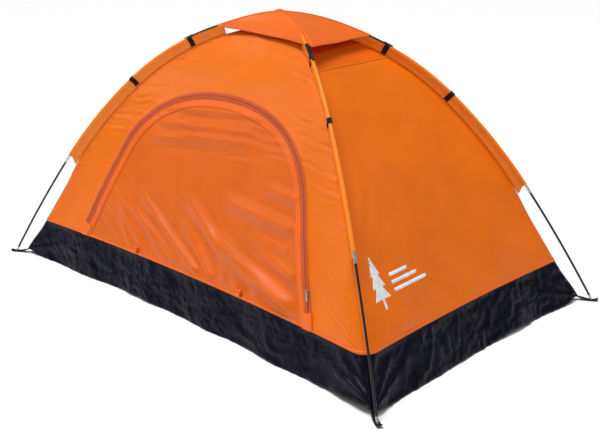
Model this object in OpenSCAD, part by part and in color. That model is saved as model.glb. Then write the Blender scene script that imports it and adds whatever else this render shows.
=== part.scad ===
// Dome tent on two crossed poles: a fabric body hung on pole sleeves, an arched zip door,
// a lift-off roof cap and a dark floor tub. Millimetres, +Z up, the door faces -Y.
// The origin is on the ground at the middle of the floor.

/* [Poles] */
// Length of one pole from tip to tip
pole_length = 3300; // [2800:10:3600]
// Plan angle of each pole from the tent's long axis, in degrees
plan_angle = 31.92; // [27:0.1:38]
// Slope of the pole where it meets the ground, in degrees
foot_slope = 60.6; // [55:0.1:64]
// How strongly the bend gathers near the top (higher is a tighter crown)
bend_focus = 2.0; // [1.6:0.05:2.4]
// Slope added to the upper pole and taken off the lower, so that they cross without touching
cross_slope = 0.36; // [0.33:0.01:0.5]
// Outer diameter of the hollow fibreglass rod
rod_d = 8.5; // [7.5:0.5:9.5]
// Bore of the rod
rod_bore = 4.5; // [3.5:0.5:5]
// Length of the rod at each foot, with its end tip
foot_section_length = 520; // [510:5:530]
// Length of a ferrule that joins two rods
ferrule_length = 72; // [50:2:90]
// Height of the pole tips above the ground
foot_lift = 8; // [6:1:14]

/* [Body] */
// Distance from the pole's centre line to the seam that the walls meet at
web_depth = 38; // [28:1:48]
// Height of the dark floor band
band_height = 158; // [100:2:200]
// Height of the seam under the end roof panels
roof_seam_z = 905; // [880:5:920]
// Height of the top edge of the walls, round the roof vent
wall_top_z = 990; // [950:1:994]
// How far the middle of the long base edge pulls in
front_bow = 40; // [10:1:50]
// How far the middle of the short base edge pulls in
side_bow = 19; // [5:1:30]
// Thickness of a wall
cloth = 1.2; // [1:0.1:2]

/* [Door] */
// Half width of the door arch at the floor band
door_half_base = 650; // [560:5:680]
// Height of the top of the arch
door_top_z = 786; // [700:2:800]
// Height of the line that the flap folds on
door_fold_z = 248; // [220:2:320]
// Width of the zip, both tapes together
zip_width = 24; // [18:1:30]
// Width of the hem along the flap's edge
hem_width = 30; // [15:1:40]

/* [Roof cap] */
// Distance of the cap's corners from the middle
cap_reach = 300; // [280:5:320]
// Height of the cap above the mean pole line
cap_lift = 15; // [15:0.5:18]

/* [Hidden] */
$fn = 48;
sweep_fn = 720;               // steps in a full turn of a long arc
tau = 360;
bodies_gap = 0.3;             // clearance between neighbouring pieces
rod_r = rod_d / 2;
bore_r = rod_bore / 2;
sections = 7;
section_length = (pole_length - 2 * foot_section_length) / (sections - 2);
lower_pole = foot_slope - cross_slope;
upper_pole = foot_slope + cross_slope;
tip_length = 16;              // silver end tip outside the rod
spigot_length = 25;           // end tip inside the rod
nipple_length = 7;            // end tip through the eyelet
ferrule_play = 0.2;           // room round the rod in a ferrule's bore
ferrule_r = rod_r + 0.9;
tunnel_r = ferrule_r + 0.3;   // inside of the pole sleeve
sleeve_cloth = 0.8;
web_half = 0.6;               // half thickness of the sleeve's flat web
strap_length = 20;            // webbing loop, measured along the sleeve
strap_cloth = 1.3;
strap_drop = 30;              // how far a loop reaches down the web
strap_slopes = [26.2, 42.6];  // pole slope under the upper and the lower loops
sleeve_top_slope = 18.0;      // pole slope at the top end of a sleeve
sheet = 1.5;                  // groundsheet thickness
webbing_w = 20;
webbing_t = 2;
webbing_tail = 36;            // webbing beyond the pole tip
webbing_top_z = 20;
eyelet_r = 4.5;
eyelet_flange_r = 8;
door_edge_gap = 2;            // gap between the flap and the wall, under the zip
tape_t = 0.8;
patch_size = 52;              // square reinforcement at each end of the zip
tie_x = [-300, 285];          // door tie-backs along the floor band
tie_w = 14;
tie_h = 26;
slider_w = 12;
slider_h = 16;
slider_t = 4;
pull_length = 30;
cap_cells = 16;
wall_columns = 16;
wall_rows = 14;

front_left = 180 + plan_angle;
rear_right = plan_angle;
front_right = -plan_angle;
rear_left = 180 - plan_angle;
leg_angles = [front_left, rear_right, front_right, rear_left];
leg_slopes = [lower_pole, lower_pole, upper_pole, upper_pole];

// A wall is [share of the seam radius along it, share outwards, pull-in of its base].
long_wall = [cos(plan_angle), sin(plan_angle), front_bow];
short_wall = [sin(plan_angle), cos(plan_angle), side_bow];

// ---- Shape of a pole: circular arcs that meet without a kink at the ferrules ----

function tanh(x) = (exp(2 * x) - 1) / (exp(2 * x) + 1);
// Joint j is 0 at the crown, 1 to 3 at the ferrules and 4 at the foot.
// Its distance along the pole from the crown, and the pole's slope there:
function joint_distance(j) = j == 0 ? 0 : j == 4 ? pole_length / 2 : (j - 0.5) * section_length;
function slope(j, foot) =
    foot * tanh(bend_focus * 2 * joint_distance(j) / pole_length) / tanh(bend_focus);
function arc_length(j) = joint_distance(j + 1) - joint_distance(j);
function arc_r(j, foot) = arc_length(j) * tau / 2 / PI / (slope(j + 1, foot) - slope(j, foot));
function on_circle(r, a) = r * [sin(a), cos(a)];
function from_crown(j, foot) = j == 0 ? [0, 0] : from_crown(j - 1, foot)
    + on_circle(arc_r(j - 1, foot), slope(j, foot)) - on_circle(arc_r(j - 1, foot), slope(j - 1, foot));
function crown_z(foot) = foot_lift - from_crown(4, foot)[1];
function joint_at(j, foot) = from_crown(j, foot) + [0, crown_z(foot)];
function arc_centre(j, foot) = joint_at(j, foot) - on_circle(arc_r(j, foot), slope(j, foot));
// Arc that holds a slope, and the point of the pole at that slope
function arc_of(a, foot) = a < slope(1, foot) ? 0 : a < slope(2, foot) ? 1 : a < slope(3, foot) ? 2 : 3;
function pole_at(a, foot) =
    let (j = arc_of(a, foot)) arc_centre(j, foot) + on_circle(arc_r(j, foot), a);
// Slope at a distance along the pole from its crown
function slope_at(s, foot) =
    let (j = min(3, floor(s / section_length + 0.5)))
    slope(j, foot) + (s - joint_distance(j)) * 180 / PI / arc_r(j, foot);

// Stands a leg's own plane (X outwards, Y up) in the tent at a plan angle.
module on_leg(angle) { rotate([90, 0, angle]) children(); }

// Sweeps a 2D profile along arc j of a leg, between two slopes. The profile's X points away
// from the centre of the arc and its origin lies on the pole's centre line.
module along_arc(j, foot, a0, a1) {
    c = arc_centre(j, foot);
    translate([c[0], c[1], 0]) rotate([0, 0, 90 - a1])
        rotate_extrude(angle = a1 - a0, $fn = sweep_fn) translate([arc_r(j, foot), 0]) children();
}

// ---- Poles ----

module ring_profile(outer, inner) {
    difference() { circle(outer); circle(inner); }
}

module rod(j, foot) {
    trim = j == 3 ? tip_length * 180 / PI / arc_r(3, foot) : 0;
    start = j == 0 ? -slope(1, foot) : slope(j, foot);
    color([0.06, 0.06, 0.07])
        along_arc(j, foot, start, slope(j + 1, foot) - trim) ring_profile(rod_r, bore_r);
}

// Sections are numbered from the front foot of each pole to its rear foot.
module pole_section(n, front, foot) {
    on_leg(n < 4 ? front : front + 180) rod(abs(n - 4), foot);
}

// A ferrule bends by the mean of the two arcs that meet in it.
module ferrule(j, foot) {
    r = 2 / (1 / arc_r(j - 1, foot) + 1 / arc_r(j, foot));
    half = ferrule_length / 2 * 180 / PI / r;
    a = slope(j, foot);
    c = joint_at(j, foot) - on_circle(r, a);
    translate([c[0], c[1], 0]) rotate([0, 0, 90 - a - half])
        rotate_extrude(angle = 2 * half, $fn = sweep_fn) translate([r, 0])
            ring_profile(ferrule_r, rod_r + ferrule_play);
}

module ferrules(front, foot) {
    color([0.78, 0.78, 0.80])
        for (side = [0, 180], j = [1:3]) on_leg(front + side) ferrule(j, foot);
}

module end_tip(foot) {
    p = joint_at(4, foot);
    translate([p[0], p[1], 0]) rotate([0, 0, -foot]) rotate([0, 90, 0]) {
        translate([0, 0, -tip_length - spigot_length]) cylinder(h = spigot_length + 1, r = bore_r - 0.15);
        translate([0, 0, -tip_length]) cylinder(h = tip_length, r = rod_r + 0.2);
        translate([0, 0, -1]) cylinder(h = nipple_length + 1, r = bore_r - 0.1);
    }
}

module end_tips(front, foot) {
    color([0.82, 0.82, 0.84]) for (side = [0, 180]) on_leg(front + side) end_tip(foot);
}

// Elastic cord through the rods, a tube of eight sides swept from tip to tip
module shock_cord(front, foot) {
    cord_r = 1.4;
    rings = 64;
    sides = 8;
    reach = pole_length / 2 - tip_length - spigot_length - 2;
    function ring_centre(i) =
        let (s = reach * (2 * i / rings - 1), a = slope_at(abs(s), foot), p = pole_at(a, foot))
        [sign(s) * p[0], p[1], sign(s) * a];
    points = [for (i = [0:rings]) let (c = ring_centre(i)) for (k = [0:sides - 1])
        let (out = cord_r * cos(k * tau / sides), across = cord_r * sin(k * tau / sides))
        [c[0] + out * sin(c[2]), c[1] + out * cos(c[2]), across]];
    walls = [for (i = [0:rings - 1], k = [0:sides - 1]) let (n = (k + 1) % sides)
        [i * sides + k, i * sides + n, (i + 1) * sides + n, (i + 1) * sides + k]];
    start = [for (k = [0:sides - 1]) sides - 1 - k];
    end = [for (k = [0:sides - 1]) rings * sides + k];
    color([0.85, 0.85, 0.82]) on_leg(front + 180) polyhedron(points, concat(walls, [start, end]));
}

// ---- Pole sleeves and their webbing loops ----

module sleeve_profile() {
    ring_profile(tunnel_r + sleeve_cloth, tunnel_r);
    translate([-web_depth + bodies_gap, -web_half])
        square([web_depth - bodies_gap - tunnel_r - sleeve_cloth / 2, 2 * web_half]);
}

// A sleeve is sewn end to end from two lengths, with the joint at the middle ferrule.
module sleeve(angle, foot) {
    color([1.0, 0.50, 0.14]) on_leg(angle) {
        along_arc(1, foot, sleeve_top_slope, slope(2, foot) - 0.01) sleeve_profile();
        along_arc(2, foot, slope(2, foot), slope(3, foot)) sleeve_profile();
    }
}

module strap_profile() {
    inner = tunnel_r + sleeve_cloth + bodies_gap;
    difference() {
        union() {
            circle(inner + strap_cloth);
            translate([-strap_drop, -web_half - bodies_gap - strap_cloth])
                square([strap_drop, 2 * (web_half + bodies_gap + strap_cloth)]);
        }
        circle(inner);
        translate([-strap_drop - 1, -web_half - bodies_gap])
            square([strap_drop + 1, 2 * (web_half + bodies_gap)]);
    }
}

module sleeve_straps(a) {
    color([0.05, 0.05, 0.06])
        for (i = [0:3]) on_leg(leg_angles[i]) {
            half = strap_length / 2 * 180 / PI / arc_r(1, leg_slopes[i]);
            along_arc(1, leg_slopes[i], a - half, a + half) strap_profile();
        }
}

// ---- Fabric body ----

// Radius of the corner seam at a height: the mean pole line moved in by the web depth
function seam_arc(z) =
    let (levels = [for (j = [1:3]) arc_centre(j, foot_slope)[1]
        + (arc_r(j, foot_slope) - web_depth) * cos(slope(j, foot_slope))])
    z > levels[0] ? 0 : z > levels[1] ? 1 : z > levels[2] ? 2 : 3;
function seam_r(z) =
    let (j = seam_arc(z), c = arc_centre(j, foot_slope), r = arc_r(j, foot_slope) - web_depth)
    c[0] + sqrt(r * r - (z - c[1]) * (z - c[1]));
// Half length of a wall at a height, a little short of the corner seam
function wall_half(w, z) = seam_r(z) * w[0] - (web_half + bodies_gap) / w[1];
// Direction square to a wall that faces -Y, as [outwards, up]
function wall_normal(w, z) =
    let (j = seam_arc(z), c = arc_centre(j, foot_slope), r = arc_r(j, foot_slope) - web_depth,
         rise = w[1] * (z - c[1]) / sqrt(r * r - (z - c[1]) * (z - c[1])), n = [1, rise])
    n / norm(n);
// A point of a wall that faces -Y; t runs from -1 to 1 along it and proud is the height above it.
function wall_point(w, t, z, proud) =
    let (n = wall_normal(w, z), pull = w[2] * seam_r(z) / seam_r(0) * (1 - t * t))
    [t * wall_half(w, z), pull - seam_r(z) * w[1] - proud * n[0], z + proud * n[1]];
// Y of a wall at a distance along it and a height
function wall_y(w, x, z, proud) = wall_point(w, x / wall_half(w, z), z, proud)[1];

// Closed slab between two grids of points, each given row by row
module slab(outer, inner, columns, rows) {
    across = columns + 1;
    back = across * (rows + 1);
    function at(c, r) = r * across + c;
    // The split of a cell follows the nearer diagonal, so creases stay straight.
    function rising(c, r) = (2 * c + 1 - columns) * (2 * r + 1 - rows) > 0;
    front_faces = [for (r = [0:rows - 1], c = [0:columns - 1])
        let (a = at(c, r), b = at(c, r + 1), d = at(c + 1, r + 1), e = at(c + 1, r))
        each rising(c, r) ? [[a, b, d], [a, d, e]] : [[a, b, e], [b, d, e]]];
    back_faces = [for (f = front_faces) [f[2] + back, f[1] + back, f[0] + back]];
    foot_rim = [for (c = [0:columns - 1]) let (a = at(c, 0), b = at(c + 1, 0))
        each [[a, b, b + back], [a, b + back, a + back]]];
    head_rim = [for (c = [0:columns - 1]) let (a = at(c, rows), b = at(c + 1, rows))
        each [[b, a, a + back], [b, a + back, b + back]]];
    left_rim = [for (r = [0:rows - 1]) let (a = at(0, r), b = at(0, r + 1))
        each [[b, a, a + back], [b, a + back, b + back]]];
    right_rim = [for (r = [0:rows - 1]) let (a = at(columns, r), b = at(columns, r + 1))
        each [[a, b, b + back], [a, b + back, a + back]]];
    polyhedron(concat(outer, inner), concat(front_faces, back_faces, foot_rim, head_rim, left_rim, right_rim));
}

// Rows of the grid lie closer together towards the crown, where the wall bends most.
module wall_shell(w, z0, z1, proud = 0, thick = cloth, rows = wall_rows) {
    function grid(p) = [for (r = [0:rows], c = [0:wall_columns])
        wall_point(w, 2 * c / wall_columns - 1, z0 + (z1 - z0) * sin(90 * r / rows), p)];
    slab(grid(proud + thick), grid(proud), wall_columns, rows);
}

module long_shell(proud = 0, thick = cloth) {
    wall_shell(long_wall, band_height + bodies_gap, wall_top_z, proud, thick);
}

module end_shell(proud = 0, thick = cloth) {
    wall_shell(short_wall, band_height + bodies_gap, roof_seam_z - bodies_gap, proud, thick);
}

// Pushes a 2D outline, drawn in X and Z, right through a wall that faces -Y.
module through_wall() {
    translate([0, 20, 0]) rotate([90, 0, 0]) linear_extrude(900) children();
}

module rear_wall() {
    color([0.93, 0.43, 0.16]) rotate([0, 0, 180]) long_shell();
}

module end_wall(angle) {
    color([0.93, 0.42, 0.16]) rotate([0, 0, angle]) end_shell();
}

module roof_panel(angle) {
    color([0.86, 0.38, 0.14]) rotate([0, 0, angle])
        wall_shell(short_wall, roof_seam_z, wall_top_z, rows = 5);
}

module floor_band(w, angle) {
    color([0.10, 0.10, 0.14]) rotate([0, 0, angle]) wall_shell(w, sheet + bodies_gap, band_height, rows = 4);
}

module groundsheet() {
    // One side of the outline, without its last corner, for each of the four walls
    function edge(w, turn) = [for (c = [0:wall_columns - 1])
        let (p = wall_point(w, 2 * c / wall_columns - 1, 0, 0))
        [p[0] * cos(turn) - p[1] * sin(turn), p[0] * sin(turn) + p[1] * cos(turn)]];
    color([0.10, 0.10, 0.13]) linear_extrude(sheet)
        polygon(concat(edge(long_wall, 0), edge(short_wall, 90), edge(long_wall, 180), edge(short_wall, 270)));
}

module roof_vent_mesh() {
    half_x = wall_half(long_wall, wall_top_z) + 4;
    half_y = wall_half(short_wall, wall_top_z) + 4;
    color([0.88, 0.88, 0.86]) translate([-half_x, -half_y, wall_top_z + cloth + bodies_gap])
        cube([2 * half_x, 2 * half_y, 1]);
}

// ---- Door ----

function bezier(a, b, c, d, t) =
    a * pow(1 - t, 3) + 3 * b * t * pow(1 - t, 2) + 3 * c * t * t * (1 - t) + d * pow(t, 3);

// Outline of the arch: straight leaning legs that run into one rounded top
module arch() {
    lean = 0.40;
    leg_top_z = band_height + 0.59 * (door_top_z - band_height);
    leg_top = [door_half_base - lean * (leg_top_z - band_height), leg_top_z];
    steps = 10;
    shoulder = leg_top + 150 * [-0.371, 0.928];
    crown = [300, door_top_z];
    half = [for (i = [0:steps]) bezier(leg_top, shoulder, crown, [0, door_top_z], i / steps)];
    polygon(concat([[door_half_base, band_height]], half,
        [for (i = [1:steps]) [-half[steps - i][0], half[steps - i][1]]], [[-door_half_base, band_height]]));
}

// The part of the arch above a height, drawn smaller by an inset
module inner_arch(inset, above) {
    intersection() {
        offset(delta = -inset) arch();
        translate([-1000, above]) square([2000, 1000]);
    }
}

module arch_strip(inset0, inset1, above) {
    difference() {
        inner_arch(inset0, above);
        offset(delta = -inset1) arch();
    }
}

module front_wall() {
    color([0.95, 0.46, 0.16]) difference() {
        long_shell();
        through_wall() inner_arch(zip_width / 2, door_fold_z);
    }
}

module door_flap() {
    color([0.92, 0.42, 0.15]) intersection() {
        long_shell();
        through_wall() inner_arch(zip_width / 2 + door_edge_gap, door_fold_z + door_edge_gap);
    }
}

module tape(colour, inset0, inset1, above) {
    color(colour) intersection() {
        long_shell(cloth + bodies_gap, tape_t);
        through_wall() arch_strip(inset0, inset1, above);
    }
}

module wall_zip_tape() { tape([0.62, 0.30, 0.16], 1, zip_width / 2, door_fold_z - 30); }
module door_zip_tape() {
    tape([0.62, 0.30, 0.16], zip_width / 2 + door_edge_gap, zip_width + door_edge_gap, door_fold_z + 4);
}
module door_hem() {
    start = zip_width + door_edge_gap + 1;
    tape([1.0, 0.50, 0.18], start, start + hem_width, door_fold_z + 4);
}

// Distance of a leg of the arch from the middle, at a height
function leg_x(z) = door_half_base - 0.40 * (z - band_height);

module zip_end_patches() {
    top = door_fold_z - 34;
    color([1.0, 0.46, 0.12]) intersection() {
        long_shell(cloth + bodies_gap, tape_t);
        through_wall() for (side = [-1, 1])
            translate([side * (leg_x(top) - 14) - patch_size / 2, top - patch_size]) square(patch_size);
    }
}

// The slider rides on the zip of the right leg; its frame leans with the wall there.
slider_z = door_fold_z + 22;
slider_x = leg_x(slider_z) - zip_width / 4;
wall_rise = [leg_x(slider_z + 100) - leg_x(slider_z),
    wall_y(long_wall, slider_x - 40, slider_z + 100, 0) - wall_y(long_wall, slider_x, slider_z, 0), 100];
slider_lean = atan2(wall_rise[1], wall_rise[2]);
slider_tilt = atan2(wall_rise[0], wall_rise[2]);
slider_y = wall_y(long_wall, slider_x, slider_z, cloth + tape_t + 2 * bodies_gap + 1.4);

module at_slider() {
    translate([slider_x, slider_y, slider_z]) rotate([-slider_lean, slider_tilt, 0]) children();
}

module zip_slider() {
    color([0.80, 0.80, 0.82]) at_slider() difference() {
        union() {
            translate([-slider_w / 2, -slider_t, -slider_h / 2]) cube([slider_w, slider_t, slider_h]);
            // Bridge that the pull hangs on
            translate([-1.5, -slider_t - 4.5, -5]) cube([3, 5, 10]);
        }
        translate([-2, -slider_t - 2.4, 0]) rotate([0, 90, 0]) cylinder(h = 4, r = 1.6);
    }
}

module zip_pull() {
    color([0.75, 0.75, 0.78]) at_slider() {
        translate([-3.5, -slider_t - 2.4, 0]) rotate([0, 90, 0]) cylinder(h = 7, r = 1.2);
        for (side = [-1, 1]) translate([side * 2.75 - 0.75, -slider_t - 3.6, -8]) cube([1.5, 2.4, 8]);
        translate([-3.5, -slider_t - 3.6, -pull_length]) cube([7, 2.4, pull_length - 7.5]);
    }
}

module at_tie(x) {
    z = band_height + 4;
    translate([x, wall_y(long_wall, x, z, cloth + bodies_gap) - 1.2, z]) rotate([-16, 0, 0]) children();
}

module door_tie_loops() {
    color([1.0, 0.45, 0.12]) for (x = tie_x) at_tie(x) difference() {
        translate([-tie_w / 2, -1.6, 0]) cube([tie_w, 1.6, tie_h]);
        translate([0, 1, tie_h - 6]) rotate([90, 0, 0]) cylinder(h = 4, r = 2.6);
    }
}

module door_toggles() {
    color([0.10, 0.10, 0.11]) for (x = tie_x) at_tie(x)
        translate([-11, -6, tie_h - 6]) rotate([0, 90, 0]) cylinder(h = 22, r = 3.2);
}

// ---- Roof cap ----

cap_flare = [0.06, 0.24];     // inward curve of the cap's short and long edges
cap_corner = [cap_reach * cos(plan_angle), cap_reach * sin(plan_angle)];
// Mean pole height at a distance from the middle
function crown_arc(d) = d < joint_at(1, foot_slope)[0] ? 0 : 1;
function pole_z(d) =
    let (j = crown_arc(d), c = arc_centre(j, foot_slope), r = arc_r(j, foot_slope))
    c[1] + sqrt(r * r - (d - c[0]) * (d - c[0]));
// u and v run from -1 to 1; the cap's ridges lie over the poles where |u| = |v|.
function cap_point(u, v, lift) =
    let (m = max(abs(u), abs(v)), n = min(abs(u), abs(v)), along = m == 0 ? 0 : n / m,
         flare = abs(u) > abs(v) ? cap_flare[0] : cap_flare[1],
         pull = 1 - flare * m * (1 - along * along))
    [u * cap_corner[0] * (abs(u) > abs(v) ? pull : 1), v * cap_corner[1] * (abs(v) > abs(u) ? pull : 1),
        pole_z(m * cap_reach) + lift];

module roof_cap() {
    function grid(lift) = [for (r = [0:cap_cells], c = [0:cap_cells])
        cap_point(2 * c / cap_cells - 1, 2 * r / cap_cells - 1, lift)];
    color([0.92, 0.40, 0.15]) slab(grid(cap_lift + cloth), grid(cap_lift), cap_cells, cap_cells);
}

cap_strap_w = 10;
hook_w = 8;
// A strap runs from the cap's corner down the sleeve to the upper webbing loop.
module cap_strap(foot) {
    from = 22.6;
    to = strap_slopes[0] - strap_length / 2 * 180 / PI / arc_r(1, foot) - 0.4;
    along_arc(1, foot, from, to) translate([tunnel_r + 3, -cap_strap_w / 2]) square([1.6, cap_strap_w]);
}

module cap_straps() {
    color([0.05, 0.05, 0.06]) for (i = [0:3]) on_leg(leg_angles[i]) cap_strap(leg_slopes[i]);
}

// Each hook passes over the loop and turns down behind its lower edge.
module cap_hook(foot) {
    half = strap_length / 2 * 180 / PI / arc_r(1, foot);
    base = tunnel_r + sleeve_cloth + bodies_gap;
    from = strap_slopes[0] - half - 0.35;
    to = strap_slopes[0] + half + 0.5;
    along_arc(1, foot, from, to)
        translate([base + strap_cloth + 0.6, -hook_w / 2]) square([2.4, hook_w]);
    along_arc(1, foot, to - 0.35, to)
        translate([base + 0.4, -hook_w / 2]) square([strap_cloth + 1, hook_w]);
}

module cap_hooks() {
    color([0.07, 0.07, 0.08]) for (i = [0:3]) on_leg(leg_angles[i]) cap_hook(leg_slopes[i]);
}

// ---- Corners ----

module corner_webbing() {
    color([0.05, 0.05, 0.06]) for (i = [0:3]) {
        foot_r = joint_at(4, leg_slopes[i])[0];
        start = seam_r(webbing_top_z) + 2.2;
        bend_r = seam_r(0) + 14;
        on_leg(leg_angles[i]) difference() {
            translate([0, 0, -webbing_w / 2]) linear_extrude(webbing_w)
                polygon([[start, webbing_top_z], [bend_r, webbing_t + 0.5], [foot_r + webbing_tail, webbing_t + 0.5],
                    [foot_r + webbing_tail, 0.5], [bend_r - 1, 0.5], [start, webbing_top_z - 3.2]]);
            translate([foot_r + 2, -1, 0]) rotate([-90, 0, 0]) cylinder(h = 6, r = eyelet_r + 1.5);
        }
    }
}

// Brass eyelet: a short tube with a flange above and below the webbing
module corner_eyelets() {
    color([0.72, 0.70, 0.66]) for (i = [0:3])
        rotate([0, 0, leg_angles[i]]) translate([joint_at(4, leg_slopes[i])[0] + 2, 0, 0])
            rotate_extrude() polygon([[eyelet_r, 0], [eyelet_flange_r, 0], [eyelet_flange_r, 0.4],
                [eyelet_r + 1.3, 0.4], [eyelet_r + 1.3, webbing_t + 0.6], [eyelet_flange_r, webbing_t + 0.6],
                [eyelet_flange_r, webbing_t + 1], [eyelet_r, webbing_t + 1]]);
}

// ---- Print ----

// A plain fir tree beside three level bars
module print_outline() {
    for (i = [0:2]) translate([0, 34 + 40 * i])
        polygon([[-38 + 8 * i, 0], [38 - 8 * i, 0], [0, 66]]);
    translate([-5, 0]) square([10, 40]);
    for (i = [0:2]) translate([62, 40 + 26 * i]) square([175 - 40 * i, 12]);
}

module wall_print() {
    color([0.96, 0.96, 0.95]) rotate([0, 0, 90]) intersection() {
        end_shell(cloth + 0.1, 0.4);
        through_wall() translate([-392, 240]) print_outline();
    }
}

// ---- Assembly ----

for (n = [1:7]) {
    pole_section(n, front_left, lower_pole);
    pole_section(n, front_right, upper_pole);
}
ferrules(front_left, lower_pole);  // pole_a_ferrules
ferrules(front_right, upper_pole);  // pole_b_ferrules
end_tips(front_left, lower_pole);  // pole_a_end_tips
end_tips(front_right, upper_pole);  // pole_b_end_tips
shock_cord(front_left, lower_pole);  // pole_a_shock_cord
shock_cord(front_right, upper_pole);  // pole_b_shock_cord
sleeve(front_left, lower_pole);  // sleeve_front_left
sleeve(front_right, upper_pole);  // sleeve_front_right
sleeve(rear_left, upper_pole);  // sleeve_rear_left
sleeve(rear_right, lower_pole);  // sleeve_rear_right
sleeve_straps(strap_slopes[0]);  // upper_sleeve_straps
sleeve_straps(strap_slopes[1]);  // lower_sleeve_straps
front_wall();
rear_wall();
end_wall(-90);  // left_wall
end_wall(90);  // right_wall
roof_panel(-90);  // left_roof_panel
roof_panel(90);  // right_roof_panel
roof_vent_mesh();
groundsheet();
floor_band(long_wall, 0);  // front_floor_band
floor_band(long_wall, 180);  // rear_floor_band
floor_band(short_wall, -90);  // left_floor_band
floor_band(short_wall, 90);  // right_floor_band
corner_webbing();
corner_eyelets();
door_flap();
door_hem();
wall_zip_tape();
door_zip_tape();
zip_end_patches();
zip_slider();
zip_pull();
door_tie_loops();
door_toggles();
roof_cap();
cap_straps();
cap_hooks();
wall_print();
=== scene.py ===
import math

import bpy
import numpy as np
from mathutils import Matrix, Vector
from mathutils.geometry import delaunay_2d_cdt


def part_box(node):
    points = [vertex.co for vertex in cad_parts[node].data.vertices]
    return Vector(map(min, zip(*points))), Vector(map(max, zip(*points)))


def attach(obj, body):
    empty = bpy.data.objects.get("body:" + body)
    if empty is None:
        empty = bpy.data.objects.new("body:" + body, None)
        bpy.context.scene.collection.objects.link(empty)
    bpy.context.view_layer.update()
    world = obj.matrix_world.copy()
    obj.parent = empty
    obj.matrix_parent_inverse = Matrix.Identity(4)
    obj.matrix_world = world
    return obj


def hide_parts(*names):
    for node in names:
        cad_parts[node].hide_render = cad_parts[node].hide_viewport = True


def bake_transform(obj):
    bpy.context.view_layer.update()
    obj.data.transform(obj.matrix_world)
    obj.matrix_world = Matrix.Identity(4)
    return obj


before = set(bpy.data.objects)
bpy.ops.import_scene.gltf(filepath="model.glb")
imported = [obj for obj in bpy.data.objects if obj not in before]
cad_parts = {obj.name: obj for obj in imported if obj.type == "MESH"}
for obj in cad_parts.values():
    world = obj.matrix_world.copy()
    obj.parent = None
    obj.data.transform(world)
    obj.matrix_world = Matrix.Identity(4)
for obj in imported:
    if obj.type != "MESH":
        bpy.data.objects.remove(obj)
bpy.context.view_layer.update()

# The looks of a dome tent on two crossed poles. Metres, +Z up, the door faces -Y.
# The fabric pieces follow the same pole arcs and wall surfaces as the CAD model.

# ---- Camera ----

CAMERA_TARGET = Vector((0.2655, -0.2012, 0.361))
CAMERA_AZIMUTH = math.radians(44.22)
CAMERA_ELEVATION = math.radians(20.04)
CAMERA_DISTANCE = 3.7215
CAMERA_LENS = 61.35


def add_camera():
    level = math.cos(CAMERA_ELEVATION)
    back = Vector((math.sin(CAMERA_AZIMUTH) * level, -math.cos(CAMERA_AZIMUTH) * level,
                   math.sin(CAMERA_ELEVATION)))
    data = bpy.data.cameras.new("camera")
    data.lens = CAMERA_LENS
    camera = bpy.data.objects.new("camera", data)
    camera.location = CAMERA_TARGET + back * CAMERA_DISTANCE
    camera.rotation_euler = (-back).to_track_quat("-Z", "Y").to_euler()
    bpy.context.scene.collection.objects.link(camera)
    bpy.context.scene.camera = camera


add_camera()

# ---- Shape of the poles ----

POLE_LENGTH = 3.300
FOOT_SECTION = 0.520
INNER_SECTION = (POLE_LENGTH - 2 * FOOT_SECTION) / 5
PLAN_ANGLE = math.radians(31.92)
FOOT_SLOPE = math.radians(60.6)
CROSS_SLOPE = math.radians(0.36)
BEND_FOCUS = 2.0
FOOT_LIFT = 0.008
WEB_DEPTH = 0.038
SLEEVE_TOP_SLOPE = math.radians(18.0)


def smooth(t):
    """0 below 0, 1 above 1, and an S curve between"""
    t = np.clip(t, 0.0, 1.0)
    return t * t * (3 - 2 * t)


def unit(vectors):
    """The same row vectors, each one long"""
    return vectors / np.linalg.norm(vectors, axis=1)[:, None]


def run_length(line):
    """Distance of each point of a line from the line's start"""
    return np.concatenate([[0], np.cumsum(np.linalg.norm(np.diff(line, axis=0), axis=1))])


def outwards(slope):
    """Direction square to a pole at a slope, as (r, z)"""
    return np.stack([np.sin(slope), np.cos(slope)], -1)


class Pole:
    """Arcs from the crown to one foot, in the leg's own plane (r outwards, z up)."""

    def __init__(self, foot):
        ferrules = INNER_SECTION * np.array([0.5, 1.5, 2.5])
        distances = np.concatenate([[0], ferrules, [POLE_LENGTH / 2]])
        self.slopes = foot * np.tanh(BEND_FOCUS * 2 * distances / POLE_LENGTH) / math.tanh(BEND_FOCUS)
        self.radii = np.diff(distances) / np.diff(self.slopes)
        steps = self.radii[:, None] * np.diff(outwards(self.slopes), axis=0)
        joints = np.vstack([np.zeros(2), np.cumsum(steps, axis=0)])
        self.joints = joints + [0, FOOT_LIFT - joints[-1, 1]]
        self.centres = self.joints[:-1] - self.radii[:, None] * outwards(self.slopes[:-1])

    def arc(self, slope):
        return np.clip(np.searchsorted(self.slopes, slope, side="right") - 1, 0, 3)

    def at(self, slope):
        j = self.arc(slope)
        return self.centres[j] + self.radii[j][..., None] * outwards(slope)


MEAN_POLE = Pole(FOOT_SLOPE)
LOWER_POLE = Pole(FOOT_SLOPE - CROSS_SLOPE)
UPPER_POLE = Pole(FOOT_SLOPE + CROSS_SLOPE)
LEGS = {
    "front_left": (math.pi + PLAN_ANGLE, LOWER_POLE),
    "front_right": (-PLAN_ANGLE, UPPER_POLE),
    "rear_left": (math.pi - PLAN_ANGLE, UPPER_POLE),
    "rear_right": (PLAN_ANGLE, LOWER_POLE),
}


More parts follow.
